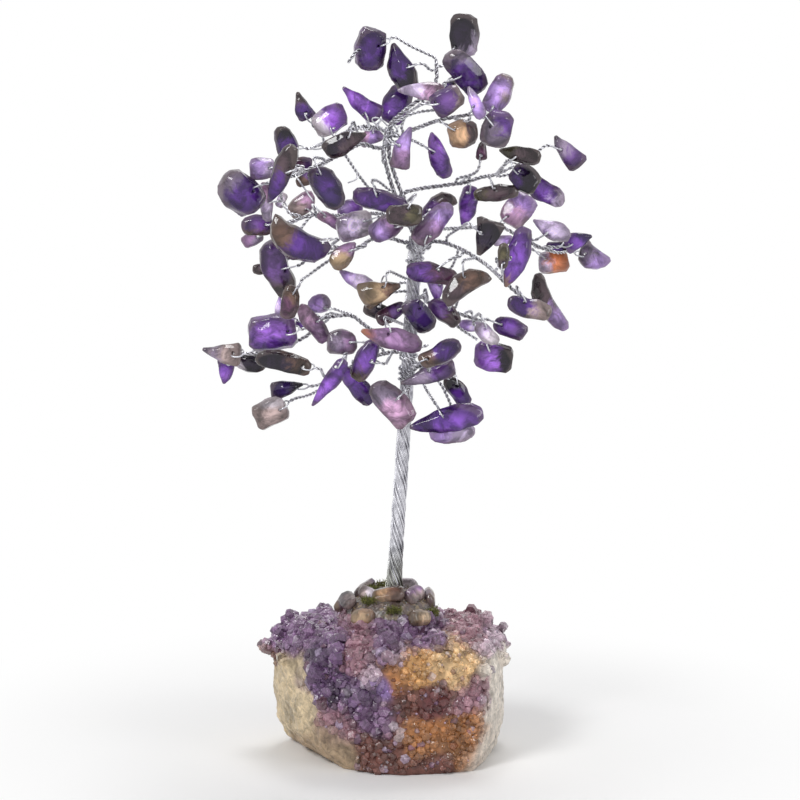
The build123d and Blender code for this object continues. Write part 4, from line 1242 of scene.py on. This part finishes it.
def dress_chip(piece, look, axes, middle, length, width):
    """Store a chip's colours, its zone and how near its edge each corner lies."""
    main, second, way, balance = look
    places = corner_places(piece.data) - middle
    way = math.radians(way)
    along = places @ np.array([math.cos(way), 0, math.sin(way)]) / (0.5 * length)
    zone = np.clip(0.5 + zone_slope * along + (balance - 0.5), 0, 1)
    edge = np.hypot(places @ axes[0] / (0.5 * length), places @ axes[1] / (0.5 * width))
    set_colours(piece.data, "main_colour", np.tile(palette[main], (len(places), 1)))
    set_colours(piece.data, "second_colour", np.tile(palette[second], (len(places), 1)))
    set_attribute(piece.data, "zone", "FLOAT", zone)
    set_attribute(piece.data, "edge", "FLOAT", np.clip(edge, 0, 1))


print("a chip's length is a share of", chip_length / mm, "mm")

# %% [markdown]
# The frame doesn't say which solid belongs to which row of the table, so each row takes the one that is
# nearest.

# %% Chips in the crown
chip_square = 0.22 * mm
chip_rounds = 5
chip_swell = 0.10 * mm
chip_unevenness = 0.75 * mm
chip_number = 0
for group, entries in chip_shares.items():
    found = islands(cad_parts[f"{group}_chips"])
    middles = [corners.mean(axis=0) for corners, faces in found]
    body = group if group in bough_shares else "tree"
    for index, entry in enumerate(entries):
        chip_number += 1
        place, length_share, width_share, lean = entry[1:5]
        middle = seen(*place)
        nearest = int(np.argmin([np.linalg.norm(other - middle) for other in middles]))
        corners, faces = found[nearest]
        name = f"{group}_chip_{index + 1}"
        chip = worn(name, corners, faces, chip_square, chip_rounds, chip_swell, amethyst)
        axes = chip_axes(lean, chip_number)
        look = chip_looks[group][index]
        uneven(chip, axes, middle, chip_unevenness)
        dress_chip(chip, look, axes, middle, length_share * chip_length, width_share * chip_length)
        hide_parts(f"{group}_chips")
        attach(chip, body)
print("chips", chip_number)

# %% [markdown]
# ## Twigs
# One wire makes a whole twig: it comes out of the rope, turns with its other half, opens just before the
# chip, passes over the face, through the hole, back over the other face, and turns away again round the
# first half. How far the rim lies and how thick the chip is at its hole follow from the stations of its
# form.

# %% Where a wire meets its chip
chip_thickness_share = 0.66
facet_share = 0.07
rim_step_share = 0.01


def station_at(form, share):
    """A chip's width, thickness and shift at a share of its length."""
    stations = chip_form_shares[form]
    left, right = [(a, b) for a, b in zip(stations, stations[1:]) if a[0] <= share <= b[0]][0]
    mix = (share - left[0]) / (right[0] - left[0])
    return [low + (high - low) * mix for low, high in zip(left[1:], right[1:])]


def outline_reach(form, length, width, heading):
    """How far a chip's outline lies from its middle in one direction of its broad plane."""
    reach = 0
    while True:
        along = reach * heading[0] / length
        if abs(along) >= 0.5:
            return reach
        wide, thick, shift = station_at(form, along)
        if abs(reach * heading[1] / width - shift) >= wide / 2:
            return reach
        reach += width * rim_step_share


def thickness_at(form, length, width, along):
    """A chip's full thickness at a distance along it."""
    wide, thick, shift = station_at(form, max(-0.5, min(0.5, along / length)))
    return thick * width * chip_thickness_share


print("a block's middle, in shares", [round(share, 2) for share in station_at("block", 0)])

# %% [markdown]
# The wire is one line from the bough to the chip and back. Where it is open, round the chip, it gets no
# painted shade.

# %% Wire of one twig
hole_inset = 2.0 * mm
loop_clearance = 0.2 * mm
loop_overhang = 1.7 * mm
rim_clearance = 0.5 * mm
leg_straight = 0.45 * mm
bail_gap = wire_radius + 0.02 * mm
twig_gap = 0.05 * mm
twig_lead = 1.15 * mm
twig_pace = 0.09 * mm
sunk_share = 0.7
opening_run = 1.2 * mm


def chip_loop(entry, number):
    """The corners of a wire's loop round its chip, its tip, the way out and the way to the front."""
    form, place, length_share, width_share, lean, bail = entry[:6]
    length, width = length_share * chip_length, width_share * chip_length
    long, broad, thin = chip_axes(lean, number)
    turn = math.radians(bail - lean)
    heading = np.array([math.cos(turn), math.sin(turn)])
    rim = outline_reach(form, length, width, heading)
    inset = min(hole_inset, rim / 2)
    out = long * heading[0] + broad * heading[1]
    hole = seen(*place) + out * (rim - inset)
    height = thickness_at(form, length, width, heading[0] * (rim - inset)) * (1 + facet_share) / 2
    height += loop_clearance + wire_radius
    over, end = inset + rim_clearance, inset + loop_overhang
    legs = [(end, bail_gap), (end - leg_straight, bail_gap), (over, height), (0, height)]
    front = [hole + out * away + thin * up for away, up in legs]
    behind = [hole + out * away - thin * up for away, up in reversed(legs)]
    return front + behind, hole + out * end, out, thin


def twig_wire(entry, number, carrier):
    """One twig's wire out to the chip, through it and back, the pair's middle, and where it is open."""
    leave, passes = entry[6:]
    loop, tip, out, thin = chip_loop(entry, number)
    route = [seen(*point) for point in passes] + [tip + out * twig_lead, tip]
    start, outward = wire_start(carrier, leave, twig_gap, route[0])
    shank = rounded([start, start + outward * twig_lead] + route, end_bend_share)
    shank = paced(np.concatenate([[start - outward * bough_radius * sunk_share], shank]), twig_pace)
    ways, sides, ups = moving_frame(shank)
    facing = math.atan2(thin @ ups[-1], thin @ sides[-1])
    left = way_gone(shank)[-1] - way_gone(shank)
    reach = wire_radius + (bail_gap - wire_radius) * np.clip(1 - left / opening_run, 0, 1)
    swing = reach[:, None] * turned(facing - left / pair_lay * 2 * math.pi, sides, ups)
    around = paced(rounded(loop), twig_pace)[1:-1]
    line = np.concatenate([shank + swing, around, (shank - swing)[::-1]])
    middle = np.concatenate([shank, around, shank[::-1]])
    open_loop = np.concatenate([np.zeros(len(shank)), np.ones(len(around)), np.zeros(len(shank))])
    return line, middle, open_loop


print("a loop stands", round(loop_overhang / mm, 2), "mm out past its hole's inset")

# %% [markdown]
# Every row of the chips' table gives one twig. Those of a bough move with it, and the others stay with
# the tree.

# %% Twigs
drawn_share = 0.98
twig_number = 0
for group, entries in chip_shares.items():
    if group in bough_shares:
        carrier, body = (bough_routes[group], bough_radius, 0), group
    else:
        carrier, body = carriers[group], "tree"
    for index, entry in enumerate(entries):
        twig_number += 1
        wire, middle, open_loop = twig_wire(entry, twig_number, carrier)
        corners, faces = tube_mesh(wire, wire_radius * drawn_share)
        # Painted shade between the pair's turns, and none on the open loop.
        groove_shade = groove_shade_of(corners, middle, 2 * wire_radius) * (1 - np.repeat(open_loop, wire_sides))
        twig = wire_object(f"{group}_twig_{index + 1}", [(corners, faces)], [groove_shade])
        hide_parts(f"{group}_twigs")
        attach(twig, body)
print("twigs", twig_number)

# %% [markdown]
# Not every wire ends in a chip. A few bare ends, loops and spare pairs were left where two twigs were
# started together or a chip was never strung. They follow the photograph, and each rides the bough that
# it is twisted into. A row holds that body, whether one wire or a pair is laid, and the corners of the
# route.

# %% Bare ends and loops
loose_pace = 0.1 * mm
loose_apart_share = 1.02
loose_wires = [
    ("top_bough", 2, [(-0.19, 0.875, -0.01), (-0.215, 0.86, -0.05), (-0.255, 0.805, -0.05)]),
    ("left_shoulder_bough", 1, [(-0.51, 0.245, -0.36), (-0.445, 0.15, -0.44), (-0.42, 0.115, -0.46)]),
    ("left_shoulder_bough", 2, [(-0.275, 0.36, -0.21), (-0.20, 0.25, -0.15), (-0.155, 0.195, -0.09)]),
    ("left_shoulder_bough", 1, [(-0.215, 0.275, -0.16), (-0.205, 0.235, -0.18), (-0.255, 0.215, -0.20)]),
    ("upper_left_bough", 1, [(-0.33, 0.45, 0.21), (-0.40, 0.425, 0.18), (-0.46, 0.40, 0.18),
                             (-0.40, 0.395, 0.17), (-0.33, 0.43, 0.20)]),
    ("left_bough", 2, [(-0.44, 0.085, 0.41), (-0.475, 0.045, 0.38), (-0.50, 0.01, 0.37)]),
    ("low_right_bough", 2, [(0.23, -0.395, -0.04), (0.28, -0.485, -0.06), (0.385, -0.55, -0.05)]),
    ("tree", 2, [(0.045, -0.575, -0.06), (0.10, -0.59, -0.10), (0.14, -0.58, -0.12)]),
    ("tree", 2, [(-0.07, 0.47, 0.02), (-0.01, 0.535, 0.08), (0.08, 0.575, 0.10), (0.17, 0.585, 0.10)]),
    ("tree", 1, [(-0.06, 0.45, -0.03), (-0.01, 0.46, -0.07), (0.00, 0.41, -0.08), (-0.04, 0.40, -0.07),
                 (-0.07, 0.44, -0.03)]),
    ("tree", 1, [(-0.06, 0.50, -0.03), (-0.10, 0.54, -0.06), (-0.15, 0.535, -0.08), (-0.11, 0.50, -0.06),
                 (-0.06, 0.47, -0.03)]),
]
for number, (body, count, route) in enumerate(loose_wires):
    line = paced(rounded([seen(*place) for place in route]), loose_pace)
    name = f"loose_wire_{number + 1}"
    if count == 2:
        pair = twisted_pair(line, wire_radius * loose_apart_share, wire_radius * drawn_share)
        loose = wire_object(name, *pair)
    else:
        loose = mesh_object(name, *tube_mesh(line, wire_radius * drawn_share), silver)
    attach(loose, body)
print("bare ends and loops", len(loose_wires))

# %% [markdown]
# ## The stone
# A lump of quartz rock broken from a vug. Its outer skin is cream and yellow matrix, and the side that
# faced the hollow is a crust of amethyst points. It takes earthier colours than the chips, so they join
# the palette here.

# %% Colours of the stone
palette.update({
    "cream": shade(212, 192, 158),
    "sand": shade(180, 156, 128),
    "ash": shade(224, 214, 202),
    "straw": shade(226, 190, 142),
    "honey": shade(204, 155, 98),
    "amber": shade(166, 112, 68),
    "rust": shade(114, 72, 64),
    "wine": shade(102, 56, 58),
    "crust": shade(132, 103, 136),
    "dusk": shade(108, 80, 118),
    "dust": shade(156, 116, 128),
    "haze": shade(196, 174, 188),
    # Painted shade: the dark of the gaps between points of the crust.
    "gap": shade(56, 38, 62),
})
print("colours with the stone's", len(palette))

# %% [markdown]
# The stone is coloured in patches, as seen from the front. The side that the photograph doesn't show is
# given the same patches, so the stone looks whole from behind. A patch is across, up, reach and what it
# is, and noise bends its border.

# %% Patches of the stone
border_bend = 0.05
border_scale = 160
rock_patches = [
    (-0.60, -2.06, 0.10, "mauve"), (-0.50, -1.95, 0.12, "crust"), (-0.38, -1.98, 0.12, "crust"),
    (-0.22, -1.93, 0.12, "dust"), (-0.35, -2.12, 0.10, "dusk"), (-0.40, -2.25, 0.08, "dusk"),
    (-0.20, -2.12, 0.12, "dust"), (-0.05, -2.05, 0.12, "crust"), (0.12, -2.00, 0.12, "crust"),
    (0.34, -1.97, 0.12, "dust"), (0.50, -2.02, 0.10, "haze"), (0.08, -2.18, 0.11, "honey"),
    (0.00, -2.24, 0.08, "amber"), (0.27, -2.16, 0.13, "straw"), (0.02, -2.36, 0.11, "rust"),
    (0.16, -2.36, 0.10, "wine"), (0.36, -2.34, 0.09, "dust"), (-0.22, -2.33, 0.12, "dusk"),
    (-0.10, -2.42, 0.10, "crust"), (-0.30, -2.45, 0.10, "dust"), (0.12, -2.52, 0.12, "amber"),
    (0.33, -2.52, 0.12, "amber"), (-0.10, -2.60, 0.12, "rust"), (0.15, -2.68, 0.10, "rust"),
    (-0.60, -2.25, 0.13, "cream"), (-0.56, -2.45, 0.13, "cream"), (-0.45, -2.62, 0.14, "sand"),
    (-0.30, -2.66, 0.10, "sand"), (-0.65, -2.16, 0.05, "rust"), (0.53, -2.20, 0.10, "ash"),
    (0.52, -2.40, 0.10, "ash"), (0.48, -2.60, 0.12, "ash"), (-0.24, -2.31, 0.04, "clear"),
    # The gap patches are painted shade in the hollows of the crust.
    (-0.08, -2.29, 0.045, "lilac"), (-0.33, -2.31, 0.045, "gap"), (-0.24, -2.41, 0.04, "gap"),
    (-0.03, -2.39, 0.045, "gap"), (-0.42, -2.14, 0.04, "gap"), (0.20, -2.29, 0.04, "wine"),
    (0.40, -2.27, 0.06, "dust"), (-0.14, -2.20, 0.06, "haze"), (-0.02, -2.10, 0.05, "haze"),
]
kinds = np.array([kind for x, y, reach, kind in rock_patches])
patch_colours = np.array([palette[kind] for kind in kinds])


def patch_mix(places):
    """The share of each patch at every corner, where the corner is seen from the front."""
    lift = math.radians(view_lift)
    across = (places[:, 0] - crown_across) / crown_reach + border_bend * rough(places, border_scale, 7)
    seen_up = places[:, 2] * math.cos(lift) + places[:, 1] * math.sin(lift)
    up = (seen_up - crown_seen_height) / crown_reach + border_bend * rough(places, border_scale, 8)
    near = [np.exp(-(((across - x) ** 2 + (up - y) ** 2) / reach**2)) for x, y, reach, kind in rock_patches]
    near = np.stack(near) ** 3 + 1e-9
    return near / near.sum(axis=0)


print("patches", len(rock_patches))

# %% [markdown]
# The CAD body gives the mass. It is rebuilt from small even squares and then broken up by noise in three
# sizes, lumps, knobs and grains, because broken rock is rough at every size. The sawn underside stays
# flat. Hollows get painted shade.

# %% Stone body
rock_square = 0.5 * mm
rock_rounds = 4
rock_roughness = [(1.1 * mm, 130, 1), (0.5 * mm, 380, 2), (0.22 * mm, 1100, 3)]
sawn_height = 0.3 * mm
sawn_fade = 2 * mm
rock_sink = 0.25 * mm
rock_widening = 1.025
spot_share = 0.25
spot_scale = 500
hollow_shade = 0.55
hollow_lift = 0.9


def rock_material():
    material, tree, surface = new_material("quartz_rock")
    place = own_place(tree)
    blotches = spread(tree, clouded(tree, place, scale=360.0, sharpness=2.8), low=0.5, high=1.35)
    spotted = shaded(tree, stored(tree, "main_colour", "Color"), blotches)
    set_surface(tree, surface, spotted, place, grain=700.0, roughness=(0.35, 0.8), strength=0.6,
                depth=0.3 * mm)
    return material


def main_piece(node_name):
    """The largest piece of a frame node."""
    return max(islands(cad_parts[node_name]), key=lambda item: len(item[0]))


rock = worn("stone_rock", *main_piece("stone_base"), rock_square, rock_rounds, 0, rock_material())
places = corner_places(rock.data)
push = sum(size * rough(places, scale, seed) for size, scale, seed in rock_roughness)
push *= np.clip((places[:, 2] - sawn_height) / sawn_fade, 0, 1)
sunk = rock_sink * np.clip(places[:, 2] / mm, 0, 1)
rock_places = places + corner_normals(rock.data) * (push - sunk)[:, None]
rock_places[:, 0] *= rock_widening
move_corners(rock.data, rock_places)
rock_mix = patch_mix(rock_places)
painted = (rock_mix.T @ patch_colours) * (1 + spot_share * rough(rock_places, spot_scale, 4))[:, None]
# Painted shade: corners pushed inwards by the noise are darkened.
painted *= (hollow_shade + (1 - hollow_shade) * np.clip(push / mm + hollow_lift, 0, 1))[:, None]
set_colours(rock.data, "main_colour", painted)
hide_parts("stone_base")
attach(rock, "tree")
print("stone faces", len(rock.data.polygons))

# %% [markdown]
# ## The foot
# Set glue holds the trunk in its hole. It is hidden by a heap of stone chips with a little dried moss
# between them. The glue itself shows only in the gaps, as a brown and glassy mass full of grit.

# %% Glue mound
mound_square = 0.3 * mm
mound_rounds = 2
grit_height = 0.25 * mm
grit_scale = 900


def glue_material():
    material, tree, surface = new_material("gritty_glue")
    place = own_place(tree)
    grit = node(tree, "ShaderNodeTexVoronoi", {"feature": "F1"}, {"Scale": 900.0}, {"Vector": place})
    dark, middle, pale = (0, shade(58, 50, 36)), (0.55, shade(92, 76, 74)), (1, shade(142, 124, 92))
    colour = ramp(tree, grit.outputs["Color"], dark, pale, middle)
    set_surface(tree, surface, colour, place, grain=800.0, roughness=(0.2, 0.6), strength=0.7,
                depth=0.3 * mm, height=grit.outputs["Distance"])
    surface.inputs["Coat Weight"].default_value = 0.4
    return material


mound = worn("glue_mound_grit", *main_piece("glue_mound"), mound_square, mound_rounds, 0, glue_material())
places = corner_places(mound.data)
gritty = grit_height * rough(places, grit_scale, 5)
move_corners(mound.data, places + corner_normals(mound.data) * gritty[:, None])
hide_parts("glue_mound")
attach(mound, "tree")
print("mound faces", len(mound.data.polygons))

# %% [markdown]
# ## The crust
# Amethyst points are six-sided, with six faces that meet at a tip. Their stone is clouded like the
# chips', and each point has painted shade at its root and a painted highlight at its tip, which is stored
# with the mesh.

# %% Crystal material and form
shoulder_share = 0.35
shoulder_radius_share = 0.94
tip_shift_share = 0.18


def crystal_material():
    material, tree, surface = new_material("crystal_points")
    place = own_place(tree)
    wisps = spread(tree, clouded(tree, place, scale=600.0, sharpness=3.2), low=0.5, high=1.5)
    veined = shaded(tree, stored(tree, "main_colour", "Color"), wisps)
    set_surface(tree, surface, veined, place, grain=1500.0, roughness=(0.1, 0.35), strength=0.45,
                depth=0.14 * mm)
    surface.inputs["IOR"].default_value = 1.54
    surface.inputs["Transmission Weight"].default_value = 0.2
    return material


def crystal_point(place, axis, radius, height, turn):
    """Corners and faces of one six-sided point, with its root below the surface."""
    side = unit(np.cross(axis, [0.3, 0.9, 0.2]))
    other = np.cross(axis, side)
    ring = turned(turn + np.arange(6) * math.pi / 3, side, other)
    low = place - axis * radius + ring * radius
    high = place + axis * height * shoulder_share + ring * radius * shoulder_radius_share
    aside = side * math.cos(turn * 3) + other * math.sin(turn * 3)
    tip = place + axis * height + aside * radius * tip_shift_share
    corners = np.concatenate([low, high, [tip]])
    faces = []
    for edge in range(6):
        after = (edge + 1) % 6
        faces.append((edge, after, 6 + after, 6 + edge))
        faces.append((6 + edge, 6 + after, 12))
    faces.append((5, 4, 3, 2, 1, 0))
    return corners, faces


print("a point's shoulder lies at", shoulder_share, "of its height")

# %% [markdown]
# The points grow on every patch but the plain rock, over the top of the stone, and low on the glue,
# where the crust closes round the foot. Each corner of the stone gets a want, and the places are drawn
# by it.

# %% Where crystals grow
crystal_count = 6500
plain_rock = ("cream", "ash", "sand")
mound_want = 0.7
low_mound_share = 0.55
mound_edge_share = 0.9
top_zone = 3 * mm
level_start = 0.45
level_gain = 4
druse_gain = 2
druse_start = 0.6

rock_normals = corner_normals(rock.data)
mound_places, mound_normals = corner_places(mound.data), corner_normals(mound.data)
low_mound = mound_places[:, 2] < mound_top - low_mound_share * mound_height
ground = np.concatenate([rock_places, mound_places[low_mound]])
facing = np.concatenate([rock_normals, mound_normals[low_mound]])
beside_mound = np.hypot(rock_places[:, 0], rock_places[:, 1]) > mound_width / 2 * mound_edge_share
druse_share = rock_mix[~np.isin(kinds, plain_rock)].sum(axis=0)
on_top = np.clip((rock_normals[:, 2] - level_start) * level_gain, 0, 1)
want = np.maximum(np.clip(druse_share * druse_gain - druse_start, 0, 1), on_top)
want *= (rock_places[:, 2] > mm) * np.where(rock_places[:, 2] > stone_height - top_zone, beside_mound, 1)
want = np.concatenate([want, np.full(low_mound.sum(), mound_want)])
chance = np.random.default_rng(11)
picked = chance.choice(len(ground), size=crystal_count, p=want / want.sum(), replace=False)
picked_mix = patch_mix(ground[picked])
print("places that want a crystal", int((want > 0).sum()))

# %% [markdown]
# On a druse the points crowd, lean apart and differ in size, with many small ones to a large one, and
# only their tips stand clear. Each stands on the stone's own surface, square to it but for a lean. One
# in six has a strange colour.

# %% Crystal points
least_radius = 0.38 * mm
more_radius = 1.35 * mm
size_power = 2.8
least_height_share = 0.35
most_turn = 2
lean_share = 0.4
least_tint = 0.68
more_tint = 0.7
strange_share = 0.16
root_painted_shade = 0.75
tip_painted_highlight = 1.2
tip_highlight_lift = 0.02
grain_shares = {"crust": 1.2, "dusk": 1.3, "honey": 0.8, "straw": 0.75, "amber": 0.85, "haze": 0.9}
grains = np.array([grain_shares.get(kind, 1.0) for kind in kinds])
strange = ["pale", "dusk", "mauve", "haze", "clear", "wine"]
pieces, tints = [], []
for corner, shares in zip(picked, picked_mix.T):
    # The base takes the patches' colours, the painted shade of the gap patches with them.
    base = shares @ patch_colours * (least_tint + more_tint * chance.random())
    if chance.random() < strange_share:
        base = 0.5 * base + 0.5 * np.array(palette[strange[int(chance.random() * len(strange))]])
    radius = (least_radius + more_radius * chance.random() ** size_power) * (shares @ grains)
    height = radius * (least_height_share + (1 - least_height_share) * chance.random())
    axis = unit(facing[corner] + lean_share * chance.normal(size=3))
    pieces.append(crystal_point(ground[corner], axis, radius, height, chance.random() * most_turn))
    # Painted shade at the root and a painted highlight at the tip.
    tints.append(np.stack([base * root_painted_shade] * 6 + [base] * 6 + [base * tip_painted_highlight + tip_highlight_lift]))
points = mesh_object("stone_crystal_points", *joined(pieces), crystal_material(), smooth=False)
set_colours(points.data, "main_colour", np.concatenate(tints))
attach(points, "tree")
print("crystal points", len(pieces))

# %% [markdown]
# The chips at the foot are the same tumbled stone as those in the crown, but paler and yellower. Each is
# grown a little and tipped outwards by an angle of its own, to lie as chips in a heap do.

# %% Foot chips
foot_looks = [
    ("khaki", "tan", 0, 0.5), ("khaki", "sand", 0, 0.5), ("tan", "brown", 0, 0.5),
    ("taupe", "clear", 0, 0.5), ("taupe", "mauve", 90, 0.4), ("smoky", "taupe", 0, 0.5),
    ("mauve", "khaki", 0, 0.5), ("taupe", "purple", 0, 0.4), ("khaki", "grey", 0, 0.5),
    ("khaki", "clear", 90, 0.5), ("pale", "taupe", 0, 0.5), ("mauve", "tan", 0, 0.5),
]
foot_growth = 1.3
foot_rise_up = 0.4 * mm
foot_slope = 34
slope_swing = 14
slope_step = 2.3
side_swing = 16
side_step = 3.1
found = sorted(islands(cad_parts["foot_chips"]), key=lambda item: item[0][:, 1].mean())
for index, (corners, faces) in enumerate(found):
    chip = worn(f"foot_chip_{index + 1}", corners, faces, chip_square, chip_rounds, chip_swell, amethyst)
    middle = corners.mean(axis=0)
    outward = math.atan2(middle[1], middle[0])
    slope = math.radians(foot_slope + slope_swing * math.sin(slope_step * index))
    aside = math.radians(side_swing * math.sin(side_step * index + 1))
    tipped = Matrix.Rotation(outward, 3, "Z") @ Matrix.Rotation(slope, 3, "Y")
    lean = np.array(tipped @ Matrix.Rotation(aside, 3, "X") @ Matrix.Rotation(-outward, 3, "Z"))
    grown = (corner_places(chip.data) - middle) @ lean.T * foot_growth
    move_corners(chip.data, middle + grown + [0, 0, foot_rise_up])
    axes = np.linalg.svd(corners - middle)[2] @ lean.T
    size = np.ptp((corners - middle) @ axes.T, axis=0) * foot_growth
    dress_chip(chip, foot_looks[index], axes, middle, size[0], size[1])
    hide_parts("foot_chips")
    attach(chip, "tree")
print("foot chips", len(found))

# %% [markdown]
# Dried moss is a tuft of fine branching stems. A few hundred short curved blades in two greens read as
# moss at this size, and leave the gaps and the ragged outline that a solid lump can't have.

# %% Moss
blade_count = 230
blade_steps = 5
blade_sides = 4
blade_way = [0, -0.2, 0.8]
blade_bend_share = 0.35
least_blade = 0.5 * mm
more_blade = 0.9 * mm
tuft_growth = 1.2
blade_radii = (0.09 * mm, 0.03 * mm)


def moss_material():
    material, tree, surface = new_material("dried_moss")
    patches = node(tree, "ShaderNodeTexNoise", None, {"Scale": 1200.0, "Detail": 3.0},
                   {"Vector": own_place(tree)})
    colour = ramp(tree, patches.outputs["Fac"], (0.3, shade(58, 62, 28)), (0.7, shade(126, 126, 62)))
    tree.links.new(colour, surface.inputs["Base Color"])
    surface.inputs["Roughness"].default_value = 0.85
    return material


chance = np.random.default_rng(5)
moss = moss_material()
steps = np.linspace(0, 1, blade_steps)[:, None]
tufts = islands(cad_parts["moss_tufts"])
for index, (corners, faces) in enumerate(tufts):
    middle = corners.mean(axis=0)
    size = np.ptp(corners, axis=0)
    blades = []
    for _ in range(blade_count):
        root = middle + (chance.random(3) - 0.5) * size * tuft_growth
        way = unit(chance.normal(size=3) + blade_way)
        bend = unit(chance.normal(size=3))
        span = least_blade + more_blade * chance.random()
        line = root + way * span * steps + bend * span * blade_bend_share * steps**2
        blades.append(tube_mesh(line, np.linspace(*blade_radii, blade_steps), blade_sides))
    tuft = mesh_object(f"moss_tuft_{index + 1}", *joined(blades), moss)
    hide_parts("moss_tufts")
    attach(tuft, "tree")
print("moss tufts", len(tufts))

# %% [markdown]
# ## Studio
# The photograph has a white ground. A world as bright as that would wash the stones out, so the camera
# sees a white one and the light comes from a dimmer one. What a mirror or a glass shows is what the
# camera would see.

# %% White ground
def backdrop_ray(tree):
    """1 for what the camera, a mirror or a glass sees directly, else 0."""
    path = node(tree, "ShaderNodeLightPath").outputs
    either = calculated(tree, "MAXIMUM", path["Is Camera Ray"], path["Is Glossy Ray"])
    return calculated(tree, "MAXIMUM", either, path["Is Transmission Ray"])


world = bpy.data.worlds.new("studio")
bpy.context.scene.world = world
world.use_nodes = True
tree = world.node_tree
plain = tree.nodes["Background"]
plain.inputs["Color"].default_value = (1, 1, 1, 1)
plain.inputs["Strength"].default_value = 0.4
white = node(tree, "ShaderNodeBackground", values={"Color": (1, 1, 1, 1), "Strength": 1.0})
parts = {0: backdrop_ray(tree), 1: plain.outputs[0], 2: white.outputs[0]}
both = node(tree, "ShaderNodeMixShader", links=parts)
tree.links.new(both.outputs[0], tree.nodes["World Output"].inputs["Surface"])
print("world", world.name)

# %% [markdown]
# A pale floor takes a soft shadow round the stone and fades to the same white a little way off, so that
# its edge is never seen.

# %% Floor
floor_size = 2.4
fade_start = 0.05
fade_end = 0.15
bpy.ops.mesh.primitive_plane_add(size=floor_size, location=(0, 0, 0))
floor = bpy.context.object
floor.name = "floor"
material, tree, surface = new_material("pale_floor")
surface.inputs["Base Color"].default_value = (0.9, 0.9, 0.9, 1)
surface.inputs["Roughness"].default_value = 0.9
away = node(tree, "ShaderNodeVectorMath", {"operation": "LENGTH"}, None, {0: own_place(tree)})
far = spread(tree, away.outputs["Value"], low=0.0, high=1.0, start=fade_start, end=fade_end, smooth=True)
shown = calculated(tree, "MULTIPLY", far, backdrop_ray(tree))
glow = node(tree, "ShaderNodeEmission", values={"Color": (1, 1, 1, 1), "Strength": 1.0})
faded = node(tree, "ShaderNodeMixShader", links={0: shown, 1: surface.outputs[0], 2: glow.outputs[0]})
tree.links.new(faded.outputs[0], tree.nodes["Material Output"].inputs["Surface"])
floor.data.materials.append(material)
print("floor", floor_size, "m wide")

# %% [markdown]
# One large soft light stands at the upper left, a weaker one at the right, and one behind and above,
# which lifts the rims. All are aimed at the middle of the tree.

# %% Lights
light_aim = (0, 0, 0.11)
light_rows = [
    ("key_light", (-0.55, -0.7, 0.85), 0.35, 6),
    ("fill_light", (0.8, -0.5, 0.4), 0.4, 2),
    ("top_light", (0.1, 0.35, 1.0), 0.4, 3.5),
]
for name, place, size, power in light_rows:
    lamp = bpy.data.lights.new(name, "AREA")
    lamp.size = size
    lamp.energy = power
    holder = bpy.data.objects.new(name, lamp)
    holder.location = place
    holder.rotation_euler = (Vector(place) - Vector(light_aim)).to_track_quat("Z", "Y").to_euler()
    bpy.context.scene.collection.objects.link(holder)
print("lights", len(light_rows))

# %% [markdown]
# The camera looks down a little, from far away with a long lens, as the photograph was taken.

# %% Camera
view_aim = Vector((3.05 * mm, 0, 96.3 * mm))
view_span = 212.5 * mm
lens_length = 150.0
sensor_width = 36.0
distance = view_span * lens_length / sensor_width
lift = math.radians(view_lift)
camera_data = bpy.data.cameras.new("camera")
camera_data.lens = lens_length
camera_data.sensor_width = sensor_width
camera = bpy.data.objects.new("camera", camera_data)
camera.location = view_aim + distance * Vector((0, -math.cos(lift), math.sin(lift)))
camera.rotation_euler = (math.pi / 2 - lift, 0, 0)
bpy.context.scene.collection.objects.link(camera)
bpy.context.scene.camera = camera
bpy.context.scene.view_settings.view_transform = "Standard"
print("camera", round(distance, 3), "m from the tree")
